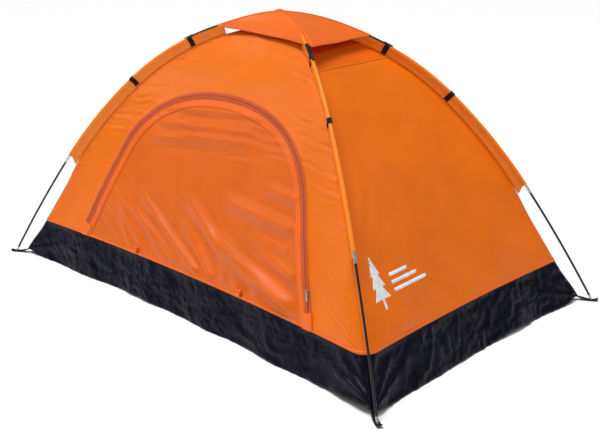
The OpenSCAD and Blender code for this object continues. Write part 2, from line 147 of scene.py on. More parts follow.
def leg_frame(leg, slopes):
    """Centres, outward, sideways and along directions of a leg's pole at slopes"""
    angle, pole = LEGS[leg]
    slopes = np.asarray(slopes, float)
    level = np.array([math.cos(angle), math.sin(angle), 0.0])
    up = np.array([0.0, 0.0, 1.0])
    r, z = np.moveaxis(pole.at(slopes), -1, 0)
    centres = r[:, None] * level + z[:, None] * up
    out = np.sin(slopes)[:, None] * level + np.cos(slopes)[:, None] * up
    along = np.cos(slopes)[:, None] * level - np.sin(slopes)[:, None] * up
    side = np.tile([-level[1], level[0], 0.0], (len(slopes), 1))
    return centres, out, side, along


# ---- Shape of the walls ----

BAND_TOP = 0.158
ROOF_SEAM = 0.905
WALL_TOP = 0.990
SLEEVE_END = MEAN_POLE.joints[3][1]
SEAM_LEVELS = [c[1] + (r - WEB_DEPTH) * math.cos(a)
               for c, r, a in zip(MEAN_POLE.centres[1:], MEAN_POLE.radii[1:], MEAN_POLE.slopes[1:])]


def seam_r(z):
    """Radius of the corner seam at a height: the mean pole line moved in by the web depth"""
    j = sum((z <= level).astype(int) for level in SEAM_LEVELS)
    c = MEAN_POLE.centres[j]
    return c[..., 0] + np.sqrt((MEAN_POLE.radii[j] - WEB_DEPTH) ** 2 - (z - c[..., 1]) ** 2)


def seam_lean(z):
    """How fast the seam's radius shrinks with height"""
    j = sum((z <= level).astype(int) for level in SEAM_LEVELS)
    c = MEAN_POLE.centres[j]
    return (z - c[..., 1]) / np.sqrt((MEAN_POLE.radii[j] - WEB_DEPTH) ** 2 - (z - c[..., 1]) ** 2)


# How high the bottom edge of a wall is at the very corner, and the (height, reach) of its rise towards it
GATHERED_TIP = 0.013
PLAIN_GATHER = (0.018, 0.07)


class Wall:
    """A side of the body, worked out as if it faced -Y. x runs along it, s up it."""

    def __init__(self, along, out, bow, turn, corners, relief,
                 gathers=(PLAIN_GATHER, PLAIN_GATHER), hang=(0, ())):
        self.along, self.out, self.bow, self.turn = along, out, bow, turn
        self.corners, self.relief, self.gathers, self.hang = corners, relief, gathers, hang
        self.table_z = np.linspace(0, WALL_TOP, 4000)
        self.table_s = run_length(np.stack([self.table_z, self.middle(self.table_z)], -1))

    def middle(self, z):
        """y of the wall's middle line"""
        r = seam_r(z)
        return self.bow * r / seam_r(np.array(0.0)) - r * self.out

    def rise(self, z):
        """Distance up the middle line at a height"""
        return np.interp(z, self.table_z, self.table_s)

    def height(self, s):
        """Height at a distance up the middle line"""
        return np.interp(s, self.table_s, self.table_z)

    def half(self, z):
        """Half of the wall's width at a height"""
        return seam_r(np.asarray(z, float)) * self.along

    def point(self, x, s, proud=0.0):
        """Places points of the wall in the tent, standing proud of its folded surface"""
        x, s = np.broadcast_arrays(np.asarray(x, float), np.asarray(s, float))
        z = self.height(s)
        half = self.half(z)
        t = np.clip(x / half, -1, 1)
        r = seam_r(z)
        y = self.bow * r / seam_r(np.array(0.0)) * (1 - t * t) - r * self.out
        rise = self.out * seam_lean(z)
        size = np.hypot(1, rise)
        lift = proud + self.relief(self, x, s, z)
        # The corner is round where no sleeve holds it.
        near = half - np.abs(x)
        radius = corner_radius(z, np.where(x < 0, self.corners[0], self.corners[1]))
        turn = np.pi / 4 * np.clip(1 - near / radius, 0, 1)
        level = lift / size
        px = np.where(turn > 0, half - radius * (1 - np.sin(turn)), np.abs(x)) + level * np.sin(turn)
        py = y + radius * (1 - np.cos(turn)) * (turn > 0) - level * np.cos(turn)
        px = np.where(x < 0, -px, px)
        pz = np.maximum(z + self.gathered(x, near, s) + lift * rise / size, 0.0005)
        c, d = math.cos(self.turn), math.sin(self.turn)
        return np.stack([px * c - py * d, px * d + py * c, pz], -1)

    def gathered(self, x, near, s):
        """How far the bottom edge is pulled up, most of all near a corner"""
        height, reach = (np.where(x < 0, a, b) for a, b in zip(*self.gathers))
        tip = np.exp(-(near / 0.014) ** 2)
        edge = self.hang[0] + 0.0012 * waves(x, x * 0, 0.30, 19, count=4)
        for middle, rise, width in self.hang[1]:
            edge = edge + rise * np.exp(-((x - middle) / width) ** 2)
        lift = (height * np.exp(-(near / reach) ** 2) + edge) * (1 - tip) + GATHERED_TIP * tip
        return lift * (1 - smooth(s / 0.13))


def corner_radius(z, largest):
    """Radius of a corner of the body: sharp under the sleeves, rounder above the floor band"""
    above = smooth((SLEEVE_END - z) / 0.15)
    below = smooth(z / BAND_TOP)
    return 0.004 + largest * above * (0.15 + 0.85 * below)


# ---- Folds in the fabric ----

def waves(x, s, wavelength, seed, count=9, spread=math.pi, lean=0.0):
    """Sum of level waves in random directions, about 1 high"""
    rng = np.random.default_rng(seed)
    total = np.zeros(np.shape(x))
    for _ in range(count):
        angle = lean + rng.uniform(-spread / 2, spread / 2)
        k = 2 * math.pi / (wavelength * rng.uniform(0.75, 1.35))
        total = total + np.sin(k * (x * math.sin(angle) + s * math.cos(angle)) + rng.uniform(0, 2 * math.pi))
    return total / math.sqrt(count)


def creases(x, s, wavelength, seed, count=6, spread=math.pi, lean=0.0):
    """Sharp folds in random directions, from 0 to about 1"""
    rng = np.random.default_rng(seed)
    bend = wavelength * 0.35
    u = x + bend * waves(x, s, wavelength * 2.1, seed + 1)
    v = s + bend * waves(x, s, wavelength * 1.7, seed + 2)
    total = np.zeros(np.shape(x))
    for _ in range(count):
        angle = lean + rng.uniform(-spread / 2, spread / 2)
        k = math.pi / (wavelength * rng.uniform(0.7, 1.5))
        total = total + 1 - np.abs(np.sin(k * (u * math.sin(angle) + v * math.cos(angle))
                                         + rng.uniform(0, math.pi)))
    return total / count


def fold(wall, x, s, route, width, height):
    """A ridge with shallow sides along a curved route of three points (x, z).
    width and height are pairs, at the route's start and end."""
    route = np.array([(a, wall.rise(b)) for a, b in route])
    t = np.linspace(0, 1, 17)[:, None]
    line = (1 - t) ** 2 * route[0] + 2 * t * (1 - t) * (2 * route[1] - (route[0] + route[2]) / 2) \
        + t ** 2 * route[2]
    best = np.full(np.shape(x), 1e9)
    place = np.zeros(np.shape(x))
    for i, (a, b) in enumerate(zip(line, line[1:])):
        d = b - a
        q = np.clip(((x - a[0]) * d[0] + (s - a[1]) * d[1]) / (d @ d), 0, 1)
        gap = (x - a[0] - q * d[0]) ** 2 + (s - a[1] - q * d[1]) ** 2
        place = np.where(gap < best, (i + q) / (len(line) - 1), place)
        best = np.minimum(gap, best)
    w = 0.004 + 1.35 * (width[0] + (width[1] - width[0]) * place)
    h = height[0] + (height[1] - height[0]) * place
    q = best / (w * w)
    ends = smooth(place / 0.12) * smooth((1 - place) / 0.3)
    return h * ends * (1 - 0.55 * q) * np.exp(-0.5 * q)


def seam_ripples(wall, x, s, z, height, reach, slope, seed):
    """Fine ripples that run from the corner seams into the wall, falling towards the corner"""
    near = wall.half(z) - np.abs(x)
    phase = (s - slope * near + 0.004 * waves(x, s, 0.09, seed)) * 2 * math.pi
    shape = np.sin(phase / 0.027) * 0.6 + np.sin(phase / 0.043 + 1.3) * 0.6
    patchy = 0.55 + 0.45 * waves(x, s, 0.12, seed + 5, count=5)
    return height * patchy * shape * smooth(near / 0.012) * (1 - smooth(near / reach))


def held_edges(wall, x, s, z, low=BAND_TOP, high=WALL_TOP):
    """0 along the seams that hold a wall, 1 away from them"""
    near = wall.half(z) - np.abs(x)
    return smooth(near / 0.05) * smooth((s - wall.rise(low)) / 0.04) * smooth((wall.rise(high) - s) / 0.03)


# ---- Door outline ----

DOOR_HALF = 0.650
DOOR_TOP = 0.786
DOOR_LEAN = 0.40
LEG_SHARE = 0.59             # straight part of the arch's side, as a share of its height
SHOULDER_PULL = 0.150 * np.array([-0.371, 0.928])
CROWN_PULL = 0.300
ZIP_WIDTH = 0.024
HEM_WIDTH = 0.030
HEM_START = ZIP_WIDTH + 0.003


def arch_line(wall, spacing=0.005):
    """The arch from its left foot over to its right foot, as evenly spaced (x, s) points"""
    leg_top_z = BAND_TOP + LEG_SHARE * (DOOR_TOP - BAND_TOP)
    leg_top = np.array([DOOR_HALF - DOOR_LEAN * (leg_top_z - BAND_TOP), leg_top_z])
    shoulder = leg_top + SHOULDER_PULL
    crown = np.array([CROWN_PULL, DOOR_TOP])
    top = np.array([0.0, DOOR_TOP])
    t = np.linspace(0, 1, 60)[:, None]
    curve = leg_top * (1 - t) ** 3 + 3 * shoulder * t * (1 - t) ** 2 \
        + 3 * crown * t * t * (1 - t) + top * t ** 3
    half = np.vstack([[[DOOR_HALF, BAND_TOP]], curve])
    line = np.vstack([half * [-1, 1], half[::-1][1:]])
    return even(np.stack([line[:, 0], wall.rise(line[:, 1])], -1), spacing)


def even(line, spacing):
    """The same line with evenly spaced points"""
    length = run_length(line)
    steps = max(2, int(round(length[-1] / spacing)))
    at = np.linspace(0, length[-1], steps + 1)
    return np.stack([np.interp(at, length, line[:, i]) for i in range(line.shape[1])], -1)


def inset(line, distance):
    """Moves a line towards its right-hand side, which is the inside of the arch"""
    along = unit(np.gradient(line, axis=0))
    return line + np.stack([along[:, 1], -along[:, 0]], -1) * distance


def beside_arch(x, s):
    """Signed distance inside the arch's outer line, and the distance along it"""
    line = ARCH[::2]
    best = np.full(np.shape(x), 1e9)
    gap, place = np.zeros(np.shape(x)), np.zeros(np.shape(x))
    step = np.linalg.norm(line[1] - line[0])
    for i, (a, b) in enumerate(zip(line, line[1:])):
        d = (b - a) / np.linalg.norm(b - a)
        q = np.clip((x - a[0]) * d[0] + (s - a[1]) * d[1], 0, step)
        far = np.hypot(x - a[0] - q * d[0], s - a[1] - q * d[1])
        side = (x - a[0]) * d[1] - (s - a[1]) * d[0]
        closer = far < best
        gap = np.where(closer, np.where(side > 0, far, -far), gap)
        place = np.where(closer, i * step + q, place)
        best = np.minimum(far, best)
    return gap, place


# ---- Relief of each wall ----

# Folds of the front wall: route of three (x, z), widths and heights at its two ends
FRONT_FOLDS = [
    (((0.30, 0.17), (0.16, 0.27), (-0.02, 0.40)), (0.008, 0.016), (0.0022, 0.0026)),
    (((0.38, 0.18), (0.26, 0.24), (0.06, 0.33)), (0.009, 0.016), (0.0020, 0.0024)),
    (((-0.12, 0.17), (-0.22, 0.23), (-0.44, 0.38)), (0.007, 0.012), (0.0016, 0.0020)),
    (((-0.24, 0.17), (-0.32, 0.22), (-0.46, 0.33)), (0.007, 0.010), (0.0014, 0.0016)),
    (((0.60, 0.17), (0.46, 0.21), (0.30, 0.26)), (0.009, 0.014), (0.0022, 0.0022)),
    (((0.06, 0.17), (-0.10, 0.25), (-0.42, 0.42)), (0.010, 0.014), (0.0036, 0.0030)),
    (((0.00, 0.17), (-0.14, 0.22), (-0.44, 0.34)), (0.008, 0.012), (0.0026, 0.0022)),
    (((-0.34, 0.17), (-0.38, 0.22), (-0.45, 0.29)), (0.008, 0.012), (0.0014, 0.0014)),
    (((0.15, 0.17), (0.02, 0.26), (-0.14, 0.38)), (0.009, 0.014), (0.0034, 0.0026)),
    (((0.22, 0.18), (0.08, 0.31), (-0.12, 0.44)), (0.012, 0.022), (0.0030, 0.0040)),
    (((0.58, 0.20), (0.28, 0.26), (0.08, 0.37)), (0.014, 0.022), (0.0048, 0.0052)),
    (((0.50, 0.43), (0.28, 0.44), (0.05, 0.45)), (0.014, 0.018), (0.0042, 0.0030)),
    (((0.46, 0.525), (0.38, 0.53), (0.28, 0.53)), (0.010, 0.012), (0.0018, 0.0016)),
    (((0.54, 0.29), (0.43, 0.31), (0.32, 0.34)), (0.011, 0.016), (0.0028, 0.0024)),
    (((0.48, 0.36), (0.40, 0.365), (0.28, 0.37)), (0.009, 0.012), (0.0016, 0.0012)),
    (((-0.26, 0.700), (-0.05, 0.722), (0.18, 0.735)), (0.012, 0.012), (0.0024, 0.0024)),
    (((-0.34, 0.640), (-0.05, 0.670), (0.26, 0.700)), (0.012, 0.012), (0.0032, 0.0032)),
    (((-0.38, 0.580), (-0.05, 0.630), (0.30, 0.665)), (0.014, 0.014), (0.0030, 0.0028)),
]


def pleats(x, s, angle, wavelength, seed):
    """Roughly parallel sharp folds, patchy, from 0 to about 1"""
    across = s * math.cos(angle) + x * math.sin(angle) + 0.006 * waves(x, s, 0.16, seed, count=5)
    patchy = smooth(0.5 + 0.5 * waves(x, s, 0.14, seed + 1, count=5))
    return patchy * (1 - np.abs(np.sin(math.pi * across / wavelength)))


FOLD_GAIN = 3.3              # makes the front wall's folds deeper than their listed heights


def front_relief(wall, x, s, z):
    """Creased door, rippled surround and the ridge of the zip between them"""
    gap, place = beside_arch(x, s)
    inside = smooth((gap - 0.01) / 0.03)
    # Fine pleats fall to the right in the lower door, and run level under the top of the arch.
    tilt = math.radians(31) - math.radians(13) * smooth((x - 0.05) / 0.4)
    low_door = smooth((z - 0.17) / 0.05) * smooth((0.46 - z) / 0.14) * inside
    high_door = smooth((z - 0.56) / 0.06) * smooth((0.76 - z) / 0.04) * inside
    high_door = high_door * smooth((0.40 - np.abs(x)) / 0.12)
    tilted = s + x * np.tan(tilt)
    fine = 0.0040 * low_door * pleats(x * 0, tilted, 0.0, 0.050, 201)
    fine += 0.0015 * low_door * pleats(x * 0.1, tilted, 0.0, 0.023, 205)
    fine += 0.0044 * high_door * pleats(x, s, math.radians(-4), 0.032, 211)
    total = FOLD_GAIN * sum(fold(wall, x, s, *f) for f in FRONT_FOLDS) * inside
    total += 0.0020 * waves(x, s, 0.30, 3) + 0.0007 * waves(x, s, 0.11, 4)
    total += fine
    total *= held_edges(wall, x, s, z, BAND_TOP - 0.004)
    lower = smooth((0.62 - z) / 0.40)
    side = np.where(x > 0, 1.0, 0.75)
    total += seam_ripples(wall, x, s, z, 0.0032 * side, 0.24, 0.10 + 0.55 * lower, 11) * (1 - inside)
    # The zip line stands a little proud, and gathers the fabric next to it.
    edge = np.exp(-((gap - ZIP_WIDTH / 2) / 0.020) ** 2)
    ripple = np.sin(2 * math.pi * place / 0.027 + 2.0 * waves(place, place * 0, 0.2, 21, count=4))
    total += 0.0030 * edge + 0.00050 * ripple * np.exp(-(np.abs(gap - 0.03) / 0.035) ** 2)
    return total * smooth((s - wall.rise(BAND_TOP)) / 0.02 + 0.15)


# Folds of the left and right walls, in the same form
SIDE_FOLDS = [
    (((-0.12, 0.165), (-0.19, 0.24), (-0.27, 0.31)), (0.010, 0.016), (0.0022, 0.0024)),
    (((-0.19, 0.165), (-0.24, 0.24), (-0.30, 0.29)), (0.009, 0.014), (0.0020, 0.0018)),
    (((0.17, 0.165), (0.10, 0.21), (0.03, 0.25)), (0.010, 0.015), (0.0020, 0.0016)),
    (((0.08, 0.165), (0.02, 0.24), (-0.05, 0.32)), (0.012, 0.018), (0.0020, 0.0018)),
    (((0.39, 0.17), (0.35, 0.22), (0.31, 0.27)), (0.009, 0.012), (0.0016, 0.0012)),
    (((-0.39, 0.48), (-0.33, 0.54), (-0.27, 0.61)), (0.014, 0.016), (0.0022, 0.0020)),
    (((-0.31, 0.47), (-0.26, 0.53), (-0.23, 0.60)), (0.012, 0.014), (0.0016, 0.0014)),
]


def side_relief(seed):
    """Nearly flat wall with a few folds above the floor band"""
    def relief(wall, x, s, z):
        total = sum(fold(wall, x, s, *f) for f in SIDE_FOLDS)
        total += 0.0028 * waves(x, s, 0.34, seed) + 0.0008 * waves(x, s, 0.12, seed + 1)
        lower = smooth((0.45 - z) / 0.30)
        total += 0.0004 * lower * waves(x, s, 0.035, seed + 2, spread=1.0, lean=math.radians(60))
        total *= held_edges(wall, x, s, z) * (z < ROOF_SEAM) + (z >= ROOF_SEAM) * 0.3
        total += seam_ripples(wall, x, s, z, 0.00030, 0.10, 0.2, seed + 3)
        return total * smooth((s - wall.rise(BAND_TOP)) / 0.02)
    return relief


def rear_relief(wall, x, s, z):
    """Nearly flat wall with creases in its lower half"""
    total = 0.0035 * waves(x, s, 0.38, 31) + 0.0010 * waves(x, s, 0.13, 32)
    total += 0.0022 * smooth((0.5 - z) / 0.3) * creases(x, s, 0.10, 33, spread=1.1, lean=math.radians(55))
    total *= held_edges(wall, x, s, z)
    total += seam_ripples(wall, x, s, z, 0.00060, 0.14, 0.35, 34)
    return total * smooth((s - wall.rise(BAND_TOP)) / 0.02)


GATHER_REACH = 0.26


def band_relief(seed, gathers):
    """Crinkled coated cloth, gathered into folds that fan out of the two lower corners"""
    def relief(wall, x, s, z):
        total = 0.0095 * (creases(x, s, 0.075, seed, spread=1.9, lean=0.2) - 0.5)
        total += 0.0055 * (creases(x, s, 0.032, seed + 7, spread=2.2, lean=0.2) - 0.5)
        total += 0.0050 * waves(x, s * 0.3, 0.34, seed + 11, count=6, spread=0.8, lean=math.pi / 2)
        for side, strength in zip((-1, 1), gathers):
            # The folds meet in one point just outside the corner.
            dx, ds = wall.half(z) - side * x + 0.012, s + 0.004
            r = np.hypot(dx, ds)
            angle = np.arctan2(ds, dx)
            ray = 1 - np.abs(np.sin(angle * 7.5 + 0.5 * waves(angle, angle * 0, 0.9, seed + 17, count=4)))
            fade = smooth(r / 0.05) * (1 - smooth((r - 0.07) / GATHER_REACH))
            total = total + strength * 0.0075 * fade * (ray - 0.4)
        near = wall.half(z) - np.abs(x)
        top = smooth((wall.rise(BAND_TOP) - s) / 0.022)
        return total * top * smooth(near / 0.03)
    return relief


NEAR_ROUND = 0.060
CORNER_ROUND = 0.028
# Share of the seam radius along the wall and outwards, and how far its middle is pulled in
LONG = (math.cos(PLAN_ANGLE), math.sin(PLAN_ANGLE), 0.040)
SHORT = (math.sin(PLAN_ANGLE), math.cos(PLAN_ANGLE), 0.019)
SIDES = {
    "front": (LONG, 0.0, (CORNER_ROUND, NEAR_ROUND)),
    "rear": (LONG, math.pi, (CORNER_ROUND, CORNER_ROUND)),
    "left": (SHORT, -math.pi / 2, (CORNER_ROUND, CORNER_ROUND)),
    "right": (SHORT, math.pi / 2, (NEAR_ROUND, CORNER_ROUND)),
}
RELIEFS = {"front": front_relief, "rear": rear_relief, "left": side_relief(41), "right": side_relief(51)}
# Strength of the gathers at the two corners of each band
GATHERS = {"front": (0.8, 1.3), "rear": (0.9, 0.8), "left": (0.8, 0.9), "right": (1.0, 0.7)}
WALLS = {n: Wall(*shape, turn, corners, RELIEFS[n]) for n, (shape, turn, corners) in SIDES.items()}
# Height and reach of the bottom edge's rise at the two corners of each band
EDGE_LIFTS = {"front": (PLAIN_GATHER, (0.030, 0.20)), "right": ((0.024, 0.07), PLAIN_GATHER),
              "rear": (PLAIN_GATHER, PLAIN_GATHER), "left": (PLAIN_GATHER, PLAIN_GATHER)}
# Clearance of the bottom edge, and the places (x, height, width) where it rises further
EDGE_HANG = {"front": (0.002, ((-0.27, 0.010, 0.10),)), "right": (0.003, ((0.20, 0.012, 0.09),)),
             "rear": (0.002, ((0.15, 0.008, 0.12),)), "left": (0.002, ((-0.1, 0.008, 0.12),))}
BANDS = {n: Wall(*shape, turn, corners, band_relief(60 + 5 * i, GATHERS[n]), EDGE_LIFTS[n], EDGE_HANG[n])
         for i, (n, (shape, turn, corners)) in enumerate(SIDES.items())}
FRONT = WALLS["front"]
ARCH = arch_line(FRONT)

# ---- Materials ----


def srgb(r, g, b):
    """Linear colour of an sRGB one from 0 to 255"""
    return tuple(v / 255 / 12.92 if v < 10 else ((v / 255 + 0.055) / 1.055) ** 2.4
                 for v in (r, g, b)) + (1.0,)


class Material:
    """A Principled material whose colour and bump come from textures"""

    def __init__(self, name, coordinates="UV", **settings):
        self.material = bpy.data.materials.new(name)
        self.material.use_nodes = True
        self.tree = self.material.node_tree
        self.shader = self.tree.nodes["Principled BSDF"]
        for key, value in settings.items():
            self.shader.inputs[key.replace("_", " ")].default_value = value
        self.place = self.node("ShaderNodeTexCoord").outputs[coordinates]

    def node(self, kind, values=(), **attributes):
        made = self.tree.nodes.new(kind)
        for key, value in attributes.items():
            setattr(made, key, value)
        for key, value in dict(values).items():
            if isinstance(value, bpy.types.NodeSocket):
                self.tree.links.new(value, made.inputs[key])
            else:
                made.inputs[key].default_value = value
        return made

    def noise(self, scale, detail=2.0, stretch=(1, 1, 1)):
        place = self.node("ShaderNodeMapping", {"Vector": self.place, "Scale": stretch}).outputs["Vector"]
        return self.node("ShaderNodeTexNoise",
                         {"Vector": place, "Scale": scale, "Detail": detail}).outputs["Fac"]

    def bands(self, period, axis):
        """Even waves along one axis; a wave texture of scale 1 repeats every tenth of pi."""
        scale = math.pi / 10 / period
        return self.node("ShaderNodeTexWave", {"Vector": self.place, "Scale": scale},
                         wave_type="BANDS", bands_direction=axis).outputs["Fac"]

    def combine(self, a, b, how="MULTIPLY"):
        made = self.node("ShaderNodeMath", operation=how)
        for i, value in enumerate((a, b)):
            if isinstance(value, bpy.types.NodeSocket):
                self.tree.links.new(value, made.inputs[i])
            else:
                made.inputs[i].default_value = value
        return made.outputs[0]

    def ramp(self, factor, stops):
        made = self.node("ShaderNodeValToRGB", {"Fac": factor})
        points = made.color_ramp.elements
        while len(points) < len(stops):
            points.new(0.5)
        for point, (place, colour) in zip(points, stops):
            point.position, point.color = place, colour
        return made.outputs["Color"]

    def colour(self, socket):
        self.tree.links.new(socket, self.shader.inputs["Base Color"])

    def bump(self, layers):
        """layers are (height, distance in metres), the broadest first"""
        normal = None
        for height, distance in layers:
            values = {"Height": height, "Distance": distance, "Strength": 1.0}
            if normal is not None:
                values["Normal"] = normal
            normal = self.node("ShaderNodeBump", values).outputs["Normal"]
        self.tree.links.new(normal, self.shader.inputs["Normal"])


def shade(colour, factor):
    return tuple(min(1.0, c * factor) for c in colour[:3]) + (1.0,)


def woven(name, colour, thread=0.0008, depth=0.00008, crumple=0.0004, vary=0.10, coordinates="UV",
          **settings):
    """Plain weave: two sets of threads, cloudy colour and small crumples"""
    m = Material(name, coordinates, **settings)
    weave = m.combine(m.bands(thread, "X"), m.bands(thread, "Y"), "MAXIMUM")
    cloud = m.combine(m.noise(5, 3), m.combine(weave, 0.12), "SUBTRACT")
    m.colour(m.ramp(cloud, [(0.25, shade(colour, 1 - vary)), (0.60, shade(colour, 1 + vary))]))
    m.bump([(m.noise(22, 3), crumple), (m.noise(90, 2), crumple * 0.3), (weave, depth)])
    return m.material


def metal(name, colour, roughness):
    m = Material(name, "Object", Metallic=1.0, Roughness=roughness)
    m.colour(m.ramp(m.noise(60, 3), [(0.3, shade(colour, 0.82)), (0.7, colour)]))
    m.bump([(m.noise(900, 2, (1, 1, 0.1)), 0.00003)])
    return m.material


def plastic(name, colour, roughness, grain=0.00004):
    m = Material(name, "Object", Roughness=roughness)
    m.colour(m.ramp(m.noise(40, 3), [(0.3, shade(colour, 0.85)), (0.7, shade(colour, 1.1))]))
    m.bump([(m.noise(1500, 2), grain)])
    return m.material


def make_materials():
    cloth = dict(Roughness=0.34, Specular_IOR_Level=0.30, vary=0.05)
    coated = dict(Roughness=0.30, Specular_IOR_Level=0.12)
    webbing = dict(thread=0.0020, depth=0.0004, crumple=0.0002, Roughness=0.75, Specular_IOR_Level=0.25)
    return {
        "wall_fabric": woven("wall_fabric", srgb(238, 113, 8), **cloth),
        "door_fabric": woven("door_fabric", srgb(224, 101, 8), **cloth),
        # The roof panels' orange is the wall's orange made darker: painted shade cast by the cap.
        "roof_fabric": woven("roof_fabric", srgb(236, 104, 8), **cloth),
        "cap_fabric": woven("cap_fabric", srgb(242, 110, 26), **cloth),
        # The sleeves' orange is brighter than the wall's: painted glow of light shining through the thin
        # cloth.
        "sleeve_fabric": woven("sleeve_fabric", srgb(255, 138, 30), **cloth),
        "hem_fabric": woven("hem_fabric", srgb(240, 106, 24), **cloth),
        "patch_fabric": woven("patch_fabric", srgb(246, 112, 20), **cloth),
        "floor_fabric": woven("floor_fabric", srgb(9, 9, 26), thread=0.0012, depth=0.0001,
                              crumple=0.0022, vary=0.3, **coated),
        "zip_tape": woven("zip_tape", srgb(205, 90, 34), thread=0.0010, depth=0.0002, Roughness=0.7),
        "zip_coil": plastic("zip_coil", srgb(208, 88, 34), 0.5),
        "strap_webbing": woven("strap_webbing", srgb(20, 20, 24), **webbing),
        "vent_mesh": woven("vent_mesh", srgb(232, 232, 228), Roughness=0.7),
        "thread": plastic("thread", srgb(226, 96, 30), 0.6),
        "dark_thread": plastic("dark_thread", srgb(40, 40, 52), 0.6),
        "print_ink": plastic("print_ink", srgb(240, 240, 240), 0.6),
        "pole_fibreglass": plastic("pole_fibreglass", srgb(26, 24, 24), 0.35),
        "black_plastic": plastic("black_plastic", srgb(18, 18, 20), 0.4),
        "toggle_plastic": plastic("toggle_plastic", srgb(240, 96, 30), 0.4),
        "elastic_cord": plastic("elastic_cord", srgb(215, 214, 208), 0.8),
        "ferrule_metal": metal("ferrule_metal", srgb(225, 226, 230), 0.32),
        "tip_metal": metal("tip_metal", srgb(210, 211, 215), 0.30),
        "eyelet_metal": metal("eyelet_metal", srgb(196, 190, 178), 0.30),
        "zip_metal": metal("zip_metal", srgb(205, 206, 210), 0.28),
    }


MATERIALS = make_materials()

# ---- Mesh making ----


def make_piece(name, points, faces, material, uv):
    """A smooth-shaded mesh object with one material and a UV map"""
    mesh = bpy.data.meshes.new(name)
    mesh.from_pydata(np.asarray(points, float).reshape(-1, 3).tolist(), [], faces)
    layer = mesh.uv_layers.new(name="UVMap")
    corner = np.empty(len(mesh.loops), np.int32)
    mesh.loops.foreach_get("vertex_index", corner)
    layer.data.foreach_set("uv", np.asarray(uv, np.float32).reshape(-1, 2)[corner].ravel())
    mesh.polygons.foreach_set("use_smooth", [True] * len(mesh.polygons))
    mesh.materials.append(MATERIALS[material])
    mesh.update()
    piece = bpy.data.objects.new(name, mesh)
    bpy.context.scene.collection.objects.link(piece)
    return piece


def thicken(piece, thickness):
    solid = piece.modifiers.new("thickness", "SOLIDIFY")
    solid.thickness = thickness
    solid.offset = 0
    solid.use_even_offset = False
    return piece


def hold(piece, body):
    """Moves a piece with a body; a piece of the door is baked in place and not parented."""
    if body == "door":
        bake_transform(piece)
    else:
        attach(piece, body)


def settle(piece, slot, body, *nodes):
    """Hides the CAD nodes a piece stands for and makes it move with its body; slot is not used"""
    if nodes:
        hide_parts(*nodes)
    hold(piece, body)


def grid_uv(along, across):
    """UV of a grid, from the distances along its rows and across its columns"""
    return np.stack(np.broadcast_arrays(np.reshape(along, (-1, 1)), np.reshape(across, (1, -1))), -1)


def grid_faces(rows, columns, ring=False):
    """Quads of a grid of rows by columns points; ring joins the last column to the first"""
    across = np.arange(columns if ring else columns - 1)
    along = np.arange(rows - 1)[:, None] * columns
    a = along + across
    b = along + (across + 1) % columns
    return np.stack([a, b, b + columns, a + columns], -1).reshape(-1, 4).tolist()


def inside_outline(points, outline):
    """Which points lie inside a closed outline"""
    x, y = points[:, 0], points[:, 1]
    hit = np.zeros(len(points), bool)
    for a, b in zip(outline, np.roll(outline, -1, axis=0)):
        if a[1] == b[1]:
            continue
        hit ^= ((a[1] > y) != (b[1] > y)) & (x < (b[0] - a[0]) * (y - a[1]) / (b[1] - a[1]) + a[0])
    return hit


def fill_outline(outline, spacing):
    """Points and triangles that fill a closed 2D outline evenly"""
    outline = np.asarray(outline)
    low, high = outline.min(0), outline.max(0)
    row_gap = spacing * math.sqrt(0.75)
    rows = []
    for i, v in enumerate(np.arange(low[1] + row_gap, high[1], row_gap)):
        row = np.arange(low[0] + spacing * (0.5 + 0.5 * (i % 2)), high[0], spacing)
        rows.append(np.stack([row, np.full(len(row), v)], -1))
    inner = np.concatenate(rows)
    inner = inner[inside_outline(inner, outline)]
    nearest = np.full(len(inner), 1e9)
    for i in range(0, len(outline), 50):
        gaps = np.linalg.norm(inner[:, None] - outline[None, i:i + 50], axis=2).min(1)
        nearest = np.minimum(nearest, gaps)
    inner = inner[nearest > 0.6 * spacing]
    points = np.concatenate([outline, inner])
    edges = [(i, (i + 1) % len(outline)) for i in range(len(outline))]
    made = delaunay_2d_cdt([Vector(p) for p in points], edges, [], 0, 1e-7)
    out = np.array([tuple(v) for v in made[0]])
    faces = np.array(made[2])
    keep = inside_outline(out[faces].mean(1), outline)
    return out, faces[keep]


def cloth_panel(name, wall, outline, spacing, material, proud=0.0, thickness=0.0006):
    """A panel cut to an outline in the wall's own (x, s), laid on the wall"""
    flat, triangles = fill_outline(outline, spacing)
    points = wall.point(flat[:, 0], flat[:, 1], proud)
    piece = make_piece(name, points, triangles.tolist(), material, flat)
    thicken(piece, thickness)
    return piece


def wall_outline(wall, z0, z1, spacing):
    """Outline of a wall between two heights, from its lower left corner round to the right"""
    s0, s1 = wall.rise(z0), wall.rise(z1)
    side = np.linspace(s0, s1, max(2, int(round((s1 - s0) / spacing))))
    right = np.stack([wall.half(wall.height(side)), side], -1)
    bottom = even(np.array([[-right[0, 0], s0], [right[0, 0], s0]]), spacing)
    top = even(np.array([[right[-1, 0], s1], [-right[-1, 0], s1]]), spacing)
    left = right[::-1] * [-1, 1]
    return np.vstack([bottom[:-1], right[:-1], top[:-1], left[:-1]])


def strip(name, wall, line, edges, material, proud, thickness, steps=5, crown=0.0):
    """A tape along a line of the wall, between two insets from it"""
    across = np.linspace(0, 1, steps)
    rows = np.stack([inset(line, edges[0] + (edges[1] - edges[0]) * a) for a in across], 1)
    rows[..., 1] = np.maximum(rows[..., 1], line[:, 1].min() + min(edges[0], 0))
    lift = proud + crown * np.sin(np.pi * across)
    points = wall.point(rows[..., 0], rows[..., 1], np.broadcast_to(lift, rows.shape[:2]))
    length = run_length(line)[-1]
    uv = grid_uv(np.linspace(0, length, len(line)), across * (edges[1] - edges[0]))
    piece = make_piece(name, points, grid_faces(len(line), steps), material, uv)
    thicken(piece, thickness)
    return piece


